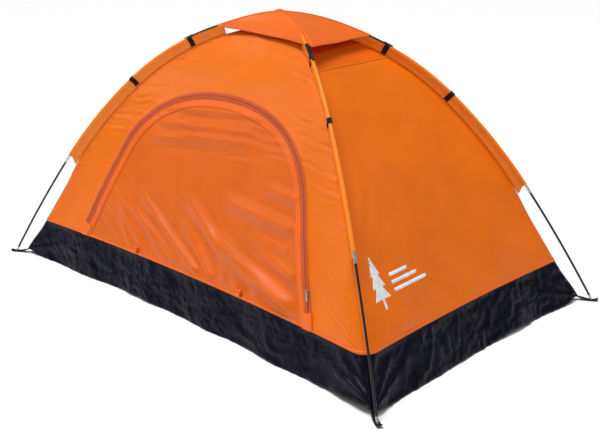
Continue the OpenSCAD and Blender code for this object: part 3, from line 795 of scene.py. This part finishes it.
def sweep(name, centres, sides, ups, section, material):
    """A closed section (m points of sideways, up) carried along a line, with flat ends"""
    section = np.asarray(section, float)
    if section.ndim == 2:
        section = np.broadcast_to(section, (len(centres),) + section.shape)
    points = centres[:, None] + sides[:, None] * section[..., :1] + ups[:, None] * section[..., 1:]
    n, m = points.shape[:2]
    faces = grid_faces(n, m, ring=True)
    faces += [list(range(m))[::-1], list(range((n - 1) * m, n * m))]
    return make_piece(name, points, faces, material, grid_uv(run_length(centres), run_length(section[0])))


def tape_section(width, thickness):
    """Cross-section of webbing: flat, with rounded edges"""
    w, t = width / 2, thickness / 2
    return np.array([(-w, -t * 0.5), (-w + t, -t), (0, -t * 1.05), (w - t, -t), (w, -t * 0.5),
                     (w, t * 0.5), (w - t, t), (0, t * 1.05), (-w + t, t), (-w, t * 0.5)])


def joined(pieces, name):
    """Joins pieces into one object"""
    bpy.ops.object.select_all(action="DESELECT")
    for piece in pieces:
        piece.select_set(True)
    bpy.context.view_layer.objects.active = pieces[0]
    bpy.ops.object.join()
    pieces[0].name = pieces[0].data.name = name
    return pieces[0]


class Stitching:
    """Rows of short raised threads, collected into one mesh"""

    LENGTH, GAP, WIDTH, HEIGHT = 0.0034, 0.0016, 0.0007, 0.0004

    def __init__(self, material):
        self.material = material
        self.points = []

    def add(self, a, b, side, low, high, taper):
        """Bars from a to b, narrower at the top by taper at each end"""
        inner = (b - a) * taper
        self.points.append(np.stack([a + low - side, a + low + side, b + low + side, b + low - side,
                                     a + inner + high - side, a + inner + high + side,
                                     b - inner + high + side, b - inner + high - side], 1))

    def row(self, line, normals):
        """Stitches along a 3D line, standing on the surface with the given normals"""
        line, normals = np.asarray(line, float), np.asarray(normals, float)
        length = run_length(line)
        starts = np.arange(0.002, length[-1] - self.LENGTH, self.LENGTH + self.GAP)

        def at(where, values):
            return np.stack([np.interp(where, length, values[:, i]) for i in range(3)], -1)

        up = unit(at(starts + self.LENGTH / 2, normals))
        a, b = at(starts, line), at(starts + self.LENGTH, line)
        side = np.cross(unit(b - a), up) * self.WIDTH / 2
        self.add(a, b, side, -0.0002 * up, self.HEIGHT * up, 0.22)

    def on_wall(self, wall, line, proud):
        """A row along a line (x, s) of a wall"""
        base = wall.point(line[:, 0], line[:, 1], proud)
        above = wall.point(line[:, 0], line[:, 1], proud + 0.001)
        self.row(base, (above - base) * 1000)

    def build(self, name):
        points = np.concatenate(self.points)
        box = np.array([(0, 3, 2, 1), (4, 5, 6, 7), (0, 1, 5, 4), (1, 2, 6, 5), (2, 3, 7, 6), (3, 0, 4, 7)])
        faces = (np.arange(len(points))[:, None, None] * 8 + box).reshape(-1, 4)
        uv = points.reshape(-1, 3)[:, :2]
        return make_piece(name, points, faces.tolist(), self.material, uv)


ROOT_THREAD = Stitching("thread")
DOOR_THREAD = Stitching("thread")
CAP_THREAD = Stitching("thread")
FLOOR_THREAD = Stitching("dark_thread")

# ---- Body panels ----

# Mesh spacing of panels that show their folds, and of the others
FINE = 0.0065
COARSE = 0.010


def build_front_wall():
    """The front wall up to the middle of the zip"""
    notch = inset(ARCH, ZIP_WIDTH / 2 - 0.001)
    notch[[0, -1], 1] = FRONT.rise(BAND_TOP)
    around = wall_outline(FRONT, BAND_TOP, WALL_TOP, FINE)
    bottom = around[:, 1] == around[0, 1]
    left = around[bottom & (around[:, 0] < notch[0, 0] - 0.003)]
    right = around[bottom & (around[:, 0] > notch[-1, 0] + 0.003)]
    outline = np.vstack([left, notch, right, around[~bottom]])
    piece = cloth_panel("front_wall_fabric", FRONT, outline, FINE, "wall_fabric")
    settle(piece, "wall_fabric", "root", "front_wall")


def build_plain_walls():
    for side, held in (("rear", ("sleeve_rear_left", "sleeve_rear_right")),
                       ("left", ("sleeve_front_left", "sleeve_rear_left")),
                       ("right", ("sleeve_front_right", "sleeve_rear_right"))):
        wall = WALLS[side]
        top = WALL_TOP if side == "rear" else ROOF_SEAM
        spacing = 0.008 if side == "right" else COARSE
        piece = cloth_panel(f"{side}_wall_fabric", wall, wall_outline(wall, BAND_TOP, top, spacing), spacing,
                            "wall_fabric")
        settle(piece, "wall_fabric", "root", f"{side}_wall")


def build_roof_panels():
    for side in ("left", "right"):
        wall = WALLS[side]
        # The roof panel takes the darker orange, which is painted shade under the cap.
        piece = cloth_panel(f"{side}_roof_fabric", wall, wall_outline(wall, ROOF_SEAM, WALL_TOP, COARSE),
                            COARSE, "roof_fabric")
        settle(piece, "roof_fabric", "root", f"{side}_roof_panel")
        seam = level_line(wall, ROOF_SEAM, 0.004)
        fell = strip(f"{side}_roof_seam", wall, seam, (-0.006, 0.006), "wall_fabric", 0.0009, 0.0008,
                     crown=0.0005)
        settle(fell, "wall_fabric", "root")
        for edge in (-0.004, 0.004):
            ROOT_THREAD.on_wall(wall, inset(seam, edge), 0.0016)


def level_line(wall, z, spacing):
    """Line across a wall at one height"""
    half, s = float(wall.half(z)), float(wall.rise(z))
    return even(np.array([[-half, s], [half, s]]), spacing)


def build_bands():
    """Dark floor bands, with the narrow bright binding that joins them to the walls"""
    for side, band in BANDS.items():
        spacing = 0.007 if side in ("front", "right") else COARSE
        outline = wall_outline(band, 0.0, BAND_TOP, spacing)
        piece = cloth_panel(f"{side}_band_fabric", band, outline, spacing, "floor_fabric",
                            thickness=0.0008)
        settle(piece, "floor_fabric", "root", f"{side}_floor_band")
        seam = level_line(band, BAND_TOP, 0.005)
        binding = strip(f"{side}_band_binding", WALLS[side], seam, (-0.0075, 0.0030), "hem_fabric", 0.0010,
                        0.0010, steps=4, crown=0.0008)
        settle(binding, "hem_fabric", "root")
        FLOOR_THREAD.on_wall(band, inset(seam, 0.006), 0.0006)


def build_groundsheet():
    """The floor inside the bands, with low random crinkles"""
    edges = []
    for side in ("front", "right", "rear", "left"):
        base = level_line(BANDS[side], 0.0, COARSE)
        edges.append(BANDS[side].point(base[:, 0], base[:, 1], -0.0012)[:-1])
    edge = np.vstack(edges)
    flat, triangles = fill_outline(edge[:, :2], 0.014)
    x, y = flat.T
    nearest = np.full(len(flat), 1e9)
    lift = np.zeros(len(flat))
    for point in edge[::2]:
        gap = np.hypot(x - point[0], y - point[1])
        lift = np.where(gap < nearest, point[2], lift)
        nearest = np.minimum(gap, nearest)
    z = 0.0008 + lift * np.exp(-(nearest / 0.06) ** 2)
    z += smooth(nearest / 0.03) * (0.0022 * creases(x, y, 0.12, 71) + 0.0012 * creases(x, y, 0.05, 72))
    piece = make_piece("groundsheet_fabric", np.stack([x, y, z], -1), triangles.tolist(), "floor_fabric",
                       flat)
    thicken(piece, 0.0008)
    settle(piece, "floor_fabric", "root", "groundsheet")


# ---- Door ----

# Heights of the two ends of the zip's teeth
LEFT_ZIP_END = 0.290
RIGHT_ZIP_END = 0.227


def build_door():
    """The door inside the zip, with its hem stitched along both edges"""
    edge = inset(ARCH, ZIP_WIDTH / 2 + 0.001)
    edge[[0, -1], 1] = FRONT.rise(BAND_TOP)
    bottom = even(edge[[-1, 0]], FINE)[1:-1]
    piece = cloth_panel("door_fabric", FRONT, np.vstack([edge, bottom])[::-1], FINE, "door_fabric")
    settle(piece, "door_fabric", "door", "door_flap")
    hem = strip("door_hem_fabric", FRONT, ARCH, (HEM_START, HEM_START + HEM_WIDTH), "hem_fabric", 0.0012,
                0.0009, steps=7, crown=0.0011)
    settle(hem, "hem_fabric", "door", "door_hem")
    for distance in (HEM_START + 0.003, HEM_START + HEM_WIDTH - 0.004):
        DOOR_THREAD.on_wall(FRONT, inset(ARCH, distance), 0.0021)


def build_zip():
    """Tape, stitching and teeth on both sides of the zip's centre line"""
    tapes = (("wall", "root", (-0.0010, ZIP_WIDTH / 2 - 0.0022)),
             ("door", "door", (ZIP_WIDTH / 2 + 0.0022, ZIP_WIDTH + 0.002)))
    for side, body, edges in tapes:
        tape = strip(f"{side}_zip_fabric", FRONT, ARCH, edges, "zip_tape", 0.0012, 0.0008)
        settle(tape, "zip_tape", body, f"{side}_zip_tape")
    ROOT_THREAD.on_wall(FRONT, inset(ARCH, 0.0022), 0.0018)
    DOOR_THREAD.on_wall(FRONT, inset(ARCH, ZIP_WIDTH - 0.001), 0.0018)
    end = np.where(ARCH[:, 0] < 0, FRONT.rise(LEFT_ZIP_END), FRONT.rise(RIGHT_ZIP_END))
    line = even(ARCH[ARCH[:, 1] > end], 0.0026)
    for side, body, towards in (("wall", "root", 1), ("door", "door", -1)):
        coil = zip_coil(f"{side}_zip_coil", line, ZIP_WIDTH / 2 - towards * 0.0030, towards)
        settle(coil, "zip_tape", body)


def zip_coil(name, line, middle, towards):
    """One half of a coil zip: a row of small rounded teeth reaching over the zip's centre line"""
    teeth = Stitching("zip_coil")
    start, end = (inset(line, middle + towards * d) for d in (-0.0014, 0.0034))
    a, b = (FRONT.point(e[:, 0], e[:, 1], 0.0018) for e in (start, end))
    up = unit(FRONT.point(start[:, 0], start[:, 1], 0.0028) - a)
    side = unit(np.gradient(a, axis=0)) * 0.0008
    teeth.add(a, b, side, -0.0004 * up, 0.0011 * up, 0.2)
    return teeth.build(name)


# Insets of a patch's two edges from the arch's line, and its height
PATCH_EDGES = (-0.004, 0.046)
PATCH_TOP = 0.214


def build_patches():
    """Reinforcements over the two ends of the zip, as wide as the zip and hem together"""
    pieces = []
    for side in (-1, 1):
        line = ARCH[(ARCH[:, 0] * side > 0) & (ARCH[:, 1] < float(FRONT.rise(PATCH_TOP)))][:: -side]
        line = even(line, 0.004)[:: -side]
        pieces.append(strip(f"patch_{side}", FRONT, line, PATCH_EDGES, "patch_fabric", 0.0034, 0.0008,
                            steps=9))
        outer, inner = (inset(line, d) for d in (PATCH_EDGES[0] + 0.004, PATCH_EDGES[1] - 0.004))
        for row in (outer, inner, np.stack([outer[0], inner[0]]), np.stack([outer[-1], inner[-1]])):
            ROOT_THREAD.on_wall(FRONT, even(row, 0.004), 0.0040)
    piece = joined(pieces, "zip_end_patch_fabric")
    settle(piece, "patch_fabric", "root", "zip_end_patches")


TIE_X = (-0.300, 0.285)
TIE_HEIGHT = 0.024


def build_tie_loops():
    """A short tape sewn into the band seam and folded over its toggle"""
    pieces = []
    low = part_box("door_tie_loops")[0].z
    t = np.linspace(0, 1, 25)
    for x in TIE_X:
        base = FRONT.point(np.array([x]), np.array([float(FRONT.rise(BAND_TOP))]), 0.002)[0]
        z = low + TIE_HEIGHT * np.sin(np.pi * t) ** 0.7
        y = base[1] - 0.0015 - 0.0085 * t + 0.006 * np.sin(np.pi * t) + (z - low) * 0.27
        centres = np.stack([np.full_like(t, x), y, z], -1)
        along = unit(np.gradient(centres, axis=0))
        side = np.tile([1.0, 0.0, 0.0], (len(t), 1))
        pieces.append(sweep(f"tie_{x}", centres, side, np.cross(side, along), tape_section(0.012, 0.0012),
                            "patch_fabric"))
    piece = joined(pieces, "door_tie_tape")
    settle(piece, "patch_fabric", "root", "door_tie_loops")


# ---- Pole sleeves ----

TUNNEL_R = 0.00545           # inside of the tube round the pole
SLEEVE_R = 0.0068            # outside of it
WEB_TOP = -0.0105            # where the tube ends and the flat web begins, below the pole's line
WEB_HALF = 0.0007
WEB_TUCK = 0.001             # how far the web reaches into the seam between the walls
CUT_SLANT = 0.018
RINGS = 110                  # cross-sections along each of a sleeve's two arcs


def sleeve_loop():
    """Outer loop of a sleeve's section as (sideways, outwards): round the pole and down the web"""
    web = [(WEB_HALF, -WEB_DEPTH - WEB_TUCK), (0.0009, -0.030), (0.0011, -0.022), (0.0016, -0.0155),
           (0.0032, WEB_TOP)]
    angles = np.radians(np.linspace(140, -140, 21))
    tube = [(SLEEVE_R * math.sin(a), SLEEVE_R * math.cos(a)) for a in angles]
    return np.array(web + tube + [(-u, v) for u, v in web[::-1]])


def build_sleeve(leg, seed):
    """A tunnel of cloth round one leg of a pole, with its web sewn into the corner seam"""
    _, pole = LEGS[leg]
    slopes = np.concatenate([np.linspace(SLEEVE_TOP_SLOPE, pole.slopes[2], RINGS)[:-1],
                             np.linspace(pole.slopes[2], pole.slopes[3], RINGS)])
    centres, out, side, along = leg_frame(leg, slopes)
    length = run_length(centres)
    loop = sleeve_loop()
    s = length[:, None]
    # The web reaches from the pole to the seam between the walls.
    depth = np.full(len(slopes), WEB_DEPTH)
    level = np.hypot(centres[:, 0], centres[:, 1])
    for _ in range(4):
        seam = seam_r(centres[:, 2] - depth * np.cos(slopes))
        depth += np.sin(slopes) * (level - depth * np.sin(slopes) - seam)
    u, v = np.broadcast_to(loop.T[:, None], (2, len(slopes), len(loop)))
    reach = (depth + WEB_TUCK + WEB_TOP) / (WEB_DEPTH + WEB_TUCK + WEB_TOP)
    v = np.where(v < WEB_TOP, WEB_TOP + (v - WEB_TOP) * reach[:, None], v)
    # Puckers round the pole and along the web, still at the seam with the walls
    full = 1 + 0.035 * waves(s, s * 0 + v * 0.3, 0.05, seed) + 0.02 * waves(s, s * 0, 0.018, seed + 1)
    on_tube = v > WEB_TOP - 0.0001
    wander = 0.0006 * waves(s, s * 0 + v, 0.07, seed + 2)
    wander = wander * smooth((v + 0.036) / 0.008) * smooth((-v - 0.006) / 0.006)
    outer = np.stack([np.where(on_tube, u * full, u) + wander, np.where(on_tube, v * full, v)], -1)
    size = np.hypot(u, v)
    inner = np.stack([np.where(on_tube, TUNNEL_R * u / size, np.sign(u) * 0.00015) + wander,
                      np.where(on_tube, TUNNEL_R * v / size, v)], -1)
    # The lower end is cut on a slant, with the web reaching further down than the tube.
    slant = CUT_SLANT * smooth((s - length[-1] + 0.05) / 0.05) * smooth((-outer[..., 1] - 0.006) / 0.034)
    points = np.concatenate([
        (centres[:, None] + side[:, None] * section[..., :1] + out[:, None] * section[..., 1:]
         + along[:, None] * slant[..., None]).reshape(-1, 3) for section in (outer, inner)])
    n, m = len(slopes), len(loop)
    faces = [f[::-1] for f in grid_faces(n, m, ring=True)]
    faces += [[i + n * m for i in f[::-1]] for f in faces]
    for ring, turned in ((0, False), (n - 1, True)):
        for k in range(m):
            a, b = ring * m + k, ring * m + (k + 1) % m
            quad = [a, b, b + n * m, a + n * m]
            faces.append(quad[::-1] if turned else quad)
    round_it = run_length(loop)
    uv = grid_uv(length, round_it)
    # The sleeve material's brighter orange is painted glow of light through the cloth.
    piece = make_piece(f"sleeve_{leg}_fabric", points, faces, "sleeve_fabric", np.concatenate([uv, uv]))
    size = (round(float(round_it[-1]), 3), round(float(length[-1]) + CUT_SLANT, 3))
    settle(piece, "sleeve_fabric", "root", f"sleeve_{leg}")
    # Two rows of stitches on each face of the web, at its top and at the seam
    for face in (-1, 1):
        for drop, lift in ((0.0135, 0.0021), (0.0345, 0.0011)):
            ROOT_THREAD.row(centres - out * drop + side * face * lift, side * face)


# Slope of the pole under each row of webbing loops
STRAP_SLOPES = {"upper_sleeve_straps": 26.2, "lower_sleeve_straps": 42.6}


def build_sleeve_straps():
    """Webbing loops round the sleeves: over the tube and down both faces of the web"""
    r = SLEEVE_R + 0.0016
    angles = np.radians(np.linspace(150, -150, 31))
    tube = np.stack([r * np.sin(angles), r * np.cos(angles)], -1)
    web = np.array([(0.0026, -0.032), (0.0026, -0.026), (0.0027, -0.019), (0.0032, -0.013)])
    line = even(np.vstack([web, tube, (web * [-1, 1])[::-1]]), 0.0015)
    for node, slope in STRAP_SLOPES.items():
        pieces = []
        for leg in LEGS:
            centre, out, side, along = (v[0] for v in leg_frame(leg, [math.radians(slope)]))
            centres = centre + line[:, :1] * side + line[:, 1:] * out
            forward = unit(np.gradient(centres, axis=0))
            width = np.tile(along, (len(centres), 1))
            pieces.append(sweep(f"strap_{leg}", centres, width, np.cross(width, forward),
                                tape_section(0.020, 0.0013), "strap_webbing"))
        piece = joined(pieces, node.replace("straps", "webbing"))
        settle(piece, "strap_webbing", "root", node)


# How far the free end of each corner's webbing curls up
TAIL_CURLS = {"front_left": 0.004, "front_right": 0.010, "rear_left": 0.003, "rear_right": 0.008}


def build_corner_webbing():
    """Flat webbing from each floor corner, under the pole tip, with a curled free end"""
    pieces = []
    for leg, (angle, pole) in LEGS.items():
        level = np.array([math.cos(angle), math.sin(angle), 0.0])
        side = np.array([-level[1], level[0], 0.0])
        start = float(seam_r(np.array(0.030))) - 0.004
        foot = pole.joints[-1, 0]
        curl = TAIL_CURLS[leg]
        route = np.array([(start, 0.032), (start + 0.006, 0.022), (start + 0.014, 0.012),
                          (foot - 0.014, 0.0040), (foot, 0.0022), (foot + 0.010, 0.0024),
                          (foot + 0.019, 0.0024 + curl * 0.35), (foot + 0.026, 0.0026 + curl)])
        line = even(rounded(route), 0.0025)
        centres = line[:, :1] * level + line[:, 1:] * np.array([0.0, 0.0, 1.0])
        forward = unit(np.gradient(centres, axis=0))
        sides = np.tile(side, (len(centres), 1))
        # The webbing is pinched where it comes out of the gathered corner.
        pinch = 0.55 + 0.45 * smooth((line[:, 0] - start) / 0.035)
        section = tape_section(0.020, 0.0018)[None] * np.stack([pinch, np.ones_like(pinch)], -1)[:, None]
        pieces.append(sweep(f"corner_{leg}", centres, sides, np.cross(forward, sides), section,
                            "strap_webbing"))
    piece = joined(pieces, "corner_webbing_tape")
    settle(piece, "strap_webbing", "root", "corner_webbing")


def rounded(route, rounds=3):
    """Corner cutting, which turns a rough route into a smooth one"""
    for _ in range(rounds):
        a, b = route[:-1], route[1:]
        cut = np.stack([0.75 * a + 0.25 * b, 0.25 * a + 0.75 * b], 1).reshape(-1, route.shape[1])
        route = np.vstack([route[:1], cut, route[-1:]])
    return route


# ---- Roof cap and vent ----

CAP_REACH = 0.300
CAP_CENTRE_LIFT = 0.0163     # height of the cap over the mean pole line at the crown
CAP_FLARE = {"short": 0.06, "long": 0.29}
# Reach of each corner of the cap from the crown, how far it has slipped in plan, and its height
CAP_CORNERS = {(-1, -1): (0.278, (0.002, 0.0), 0.0), (1, -1): (0.342, (0.008, 0.008), 0.008),
               (-1, 1): (0.296, (0.0, 0.0), 0.0), (1, 1): (0.318, (0.0, 0.0), 0.002)}
CROWN_SLIP = (-0.008, -0.008)
POLE_STAGGER = 0.0046        # about half of the height between the two poles where they cross
SLEEVE_CLEARANCE = 0.0086
CAP_POINTS = 81
RIDGE_POINTS = 160
# Sideways offset and lift of the points across the raised seam on each ridge
RIDGE_SECTION = ((-0.005, 0.0008), (-0.0035, 0.0018), (0, 0.0022), (0.0035, 0.0018), (0.005, 0.0008))
CAP_HALF = CAP_REACH * np.array([math.cos(PLAN_ANGLE), math.sin(PLAN_ANGLE)])


def cap_point(u, v, proud=0.0):
    """A point of the cap; u and v run from -1 to 1 and its ridges lie over the poles at |u| = |v|."""
    m = np.maximum(np.maximum(np.abs(u), np.abs(v)), 1e-6)
    along = np.minimum(np.abs(u), np.abs(v)) / m
    wide = np.abs(u) > np.abs(v)
    slip_x, slip_y = (slip * (1 - m) ** 2 for slip in CROWN_SLIP)
    reach = raised = 0.0
    for (side_u, side_v), (corner_reach, slip, height) in CAP_CORNERS.items():
        share = (1 + side_u * u / m) * (1 + side_v * v / m) / 4
        reach = reach + share * corner_reach
        slip_x = slip_x + share * slip[0] * m ** 2
        slip_y = slip_y + share * slip[1] * m ** 2
        raised = raised + share * height * smooth(m / 0.7)
    pull = 1 - np.where(wide, CAP_FLARE["short"], CAP_FLARE["long"]) * m * (1 - along ** 2)
    x = u * reach * math.cos(PLAN_ANGLE) * np.where(wide, pull, 1) + slip_x
    y = v * reach * math.sin(PLAN_ANGLE) * np.where(wide, 1, pull) + slip_y
    d = m * reach
    j = (d > MEAN_POLE.joints[1, 0]).astype(int)
    c = MEAN_POLE.centres[j]
    z = c[..., 1] + np.sqrt(MEAN_POLE.radii[j] ** 2 - (d - c[..., 0]) ** 2)
    edge_lift = SLEEVE_CLEARANCE - POLE_STAGGER * u * v / m ** 2
    lift = CAP_CENTRE_LIFT + (edge_lift - CAP_CENTRE_LIFT) * smooth(m / 0.9)
    # Between the ridges the cloth sags, and soft folds run towards the corners.
    sag = -0.007 * smooth((m - 0.25) / 0.75) * (1 - along ** 1.5)
    soft = 0.0012 * waves(u, v, 0.65, 82, count=6) * smooth((1 - along) * 4) * smooth(m * 2)
    return np.stack([x, y, z + lift + raised + sag + soft + proud], -1)


def build_cap():
    """The cap's cloth, the hem round its edge and a raised seam over each pole"""
    line = np.linspace(-1, 1, CAP_POINTS)
    u, v = np.meshgrid(line, line)
    piece = make_piece("roof_cap_fabric", cap_point(u, v), grid_faces(CAP_POINTS, CAP_POINTS), "cap_fabric",
                       np.stack([u, v], -1) * CAP_HALF)
    thicken(piece, 0.0006)
    settle(piece, "cap_fabric", "cap", "roof_cap")
    ones = np.ones(CAP_POINTS)
    edge = np.concatenate([np.stack([line, -ones], -1)[:-1], np.stack([ones, line], -1)[:-1],
                           np.stack([line[::-1], ones], -1)[:-1], np.stack([-ones, line[::-1]], -1)])
    shares = np.linspace(1.0, 0.955, 5)
    rim = np.stack([cap_point(edge[:, 0] * q, edge[:, 1] * q, 0.0010) for q in shares], 1)
    hem = make_piece("cap_hem", rim, grid_faces(len(edge), len(shares)), "cap_fabric",
                     grid_uv(np.arange(len(edge)) * 0.005, shares * 0.2))
    thicken(hem, 0.0008)
    settle(hem, "cap_fabric", "cap")
    stitches = cap_point(*(edge * 0.965).T, 0.0016)
    CAP_THREAD.row(stitches, np.tile([0.0, 0.0, 1.0], (len(edge), 1)))
    seams = [cap_seam(turn) for turn in (1, -1)]
    seam = thicken(joined(seams, "cap_seams"), 0.0008)
    settle(seam, "cap_fabric", "cap")


def cap_seam(turn):
    """Raised seam from corner to corner of the cap, with a row of stitches on either side"""
    t = np.linspace(-0.99, 0.99, RIDGE_POINTS)
    angle = math.atan2(turn * math.sin(PLAN_ANGLE), math.cos(PLAN_ANGLE))
    across = np.array([-math.sin(angle), math.cos(angle)]) / CAP_HALF
    grid = np.stack([cap_point(t + across[0] * q, turn * t + across[1] * q, lift)
                     for q, lift in RIDGE_SECTION], 1)
    width = len(RIDGE_SECTION)
    for column in (1, width - 2):
        CAP_THREAD.row(grid[:, column], np.tile([0.0, 0.0, 1.0], (RIDGE_POINTS, 1)))
    return make_piece(f"cap_seam_{turn}", grid, grid_faces(RIDGE_POINTS, width), "cap_fabric",
                      grid_uv(t * 0.3, np.linspace(0, 0.01, width)))


# Pole slopes at the hidden upper ends of the cap's straps
CAP_STRAP_TOP = {"front_left": 19.2, "front_right": 21.8, "rear_left": 20.2, "rear_right": 21.4}
CAP_STRAP_END = 25.7


def build_cap_straps():
    """Webbing from each corner of the cap to the hook, bent round the sleeve"""
    angles = np.radians(np.linspace(-58, 58, 15))
    arc = np.stack([np.sin(angles), np.cos(angles)], -1)
    section = np.vstack([arc * 0.0077, arc[::-1] * 0.0089])
    pieces = []
    for leg, top in CAP_STRAP_TOP.items():
        centres, out, side, _ = leg_frame(leg, np.radians(np.linspace(top, CAP_STRAP_END, 30)))
        pieces.append(sweep(f"cap_strap_{leg}", centres, side, out, section, "strap_webbing"))
    piece = joined(pieces, "cap_strap_webbing")
    settle(piece, "strap_webbing", "cap", "cap_straps")


NET_PITCH = 0.008
NET_THREAD = 0.0011


def build_vent():
    """A net of fine threads over the open crown"""
    low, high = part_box("roof_vent_mesh")
    nx, ny = int((high.x - low.x) / NET_PITCH), int((high.y - low.y) / NET_PITCH)
    x, y = np.meshgrid(np.linspace(low.x, high.x, nx), np.linspace(low.y, high.y, ny))
    z = (low.z + high.z) / 2 + 0.001 * waves(x, y, 0.2, 91)
    piece = make_piece("vent_net", np.stack([x, y, z], -1), grid_faces(ny, nx), "vent_mesh",
                       np.stack([x, y], -1))
    net = piece.modifiers.new("net", "WIREFRAME")
    net.thickness = NET_THREAD
    net.use_even_offset = False
    settle(piece, "vent_mesh", "root", "roof_vent_mesh")


# ---- Print on the right wall ----

PRINT_CORNER = (-0.392, 0.248)   # x and height of the tree's foot on the right wall
TIER_RISE = 0.040
BAR_RISE = 0.026
BAR_START = 0.062
BAR_THICKNESS = 0.012


def print_shapes():
    """Outlines of the tree's three tiers, its trunk and the three bars"""
    tiers = [[(-0.038 + 0.008 * i, 0.034 + TIER_RISE * i), (0.038 - 0.008 * i, 0.034 + TIER_RISE * i),
              (0, 0.100 + TIER_RISE * i)] for i in range(3)]
    trunk = [(-0.005, 0), (0.005, 0), (0.005, 0.036), (-0.005, 0.036)]
    bars = []
    for i in range(3):
        left, right = BAR_START, BAR_START + 0.175 - 0.040 * i
        low = 0.040 + BAR_RISE * i
        bars.append([(left, low), (right, low), (right, low + BAR_THICKNESS), (left, low + BAR_THICKNESS)])
    return tiers + [trunk] + bars


def build_print():
    """A plain fir tree beside three level bars, laid on the right wall"""
    wall = WALLS["right"]
    corner = [PRINT_CORNER[0], float(wall.rise(PRINT_CORNER[1]))]
    pieces = []
    for i, shape in enumerate(print_shapes()):
        outline = even(np.array(shape + shape[:1], float), 0.006)[:-1] + corner
        flat, triangles = fill_outline(outline, 0.006)
        points = wall.point(flat[:, 0], flat[:, 1], 0.0007)
        pieces.append(make_piece(f"print_{i}", points, triangles.tolist(), "print_ink", flat))
    piece = thicken(joined(pieces, "wall_print_ink"), 0.0003)
    settle(piece, "print_ink", "root", "wall_print")


# ---- CAD nodes that stay ----

def dress_cad_nodes():
    """Materials of the nodes whose CAD shape is kept"""
    looks = {"pole_a_section": "pole_fibreglass", "pole_b_section": "pole_fibreglass",
             "pole_a_ferrules": "ferrule_metal", "pole_b_ferrules": "ferrule_metal",
             "pole_a_end_tips": "tip_metal", "pole_b_end_tips": "tip_metal",
             "pole_a_shock_cord": "elastic_cord", "pole_b_shock_cord": "elastic_cord",
             "corner_eyelets": "eyelet_metal", "zip_slider": "zip_metal", "zip_pull": "zip_metal",
             "door_toggles": "toggle_plastic", "cap_hooks": "black_plastic"}
    for name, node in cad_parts.items():
        for start, material in looks.items():
            if name.startswith(start):
                for slot in node.material_slots:
                    slot.material = MATERIALS[material]


# ---- Floor and light ----

FLOOR_HALF = 30
FLOOR_Z = -0.0004


def add_stage():
    """A plain pale floor that fades into the background"""
    corners = [(-1, -1), (1, -1), (1, 1), (-1, 1)]
    floor = make_piece("floor", [(FLOOR_HALF * x, FLOOR_HALF * y, FLOOR_Z) for x, y in corners],
                       [[0, 1, 2, 3]], "print_ink", corners)
    m = Material("floor", "Object", Roughness=0.9, Specular_IOR_Level=0.1)
    m.shader.inputs["Base Color"].default_value = (0.97, 0.97, 0.97, 1)
    floor.data.materials[0] = m.material


def add_light(name, kind, place, target, strength, **settings):
    """A lamp at a place, aimed at a target"""
    data = bpy.data.lights.new(name, kind)
    data.energy = strength
    for key, value in settings.items():
        setattr(data, key, value)
    light = bpy.data.objects.new(name, data)
    light.location = place
    light.rotation_euler = (Vector(target) - Vector(place)).to_track_quat("-Z", "Y").to_euler()
    bpy.context.scene.collection.objects.link(light)


def add_lights():
    """Soft light from above, with lamps in front, to the right and low down"""
    world = bpy.data.worlds.new("studio")
    world.use_nodes = True
    world.node_tree.nodes["Background"].inputs["Color"].default_value = (1, 1, 1, 1)
    world.node_tree.nodes["Background"].inputs["Strength"].default_value = 0.19
    bpy.context.scene.world = world
    add_light("ceiling", "SUN", (-0.8, -0.6, 4), (0, 0, 0), 2.72, angle=math.radians(28))
    add_light("key", "AREA", (-2.8, -2.9, 2.9), (0.0, -0.3, 0.4), 24, shape="DISK", size=0.6)
    add_light("side", "AREA", (3.0, 0.8, 3.8), (0.5, 0.0, 0.8), 24, shape="DISK", size=1.2)
    add_light("fill", "AREA", (2.6, -4.4, 1.0), (0.1, 0.0, 0.5), 12, shape="DISK", size=2.0)
    bpy.context.scene.view_settings.view_transform = "Standard"


build_front_wall()
build_plain_walls()
build_roof_panels()
build_bands()
build_groundsheet()
build_door()
build_zip()
build_patches()
build_tie_loops()
for number, leg_name in enumerate(LEGS):
    build_sleeve(leg_name, 100 + 10 * number)
build_sleeve_straps()
build_corner_webbing()
build_cap()
build_cap_straps()
build_vent()
build_print()
for stitching, label, body in ((ROOT_THREAD, "body_stitching", "root"),
                               (FLOOR_THREAD, "floor_stitching", "root"),
                               (CAP_THREAD, "cap_stitching", "cap"),
                               (DOOR_THREAD, "door_stitching", "door")):
    hold(stitching.build(label), body)
dress_cad_nodes()
add_stage()
add_lights()
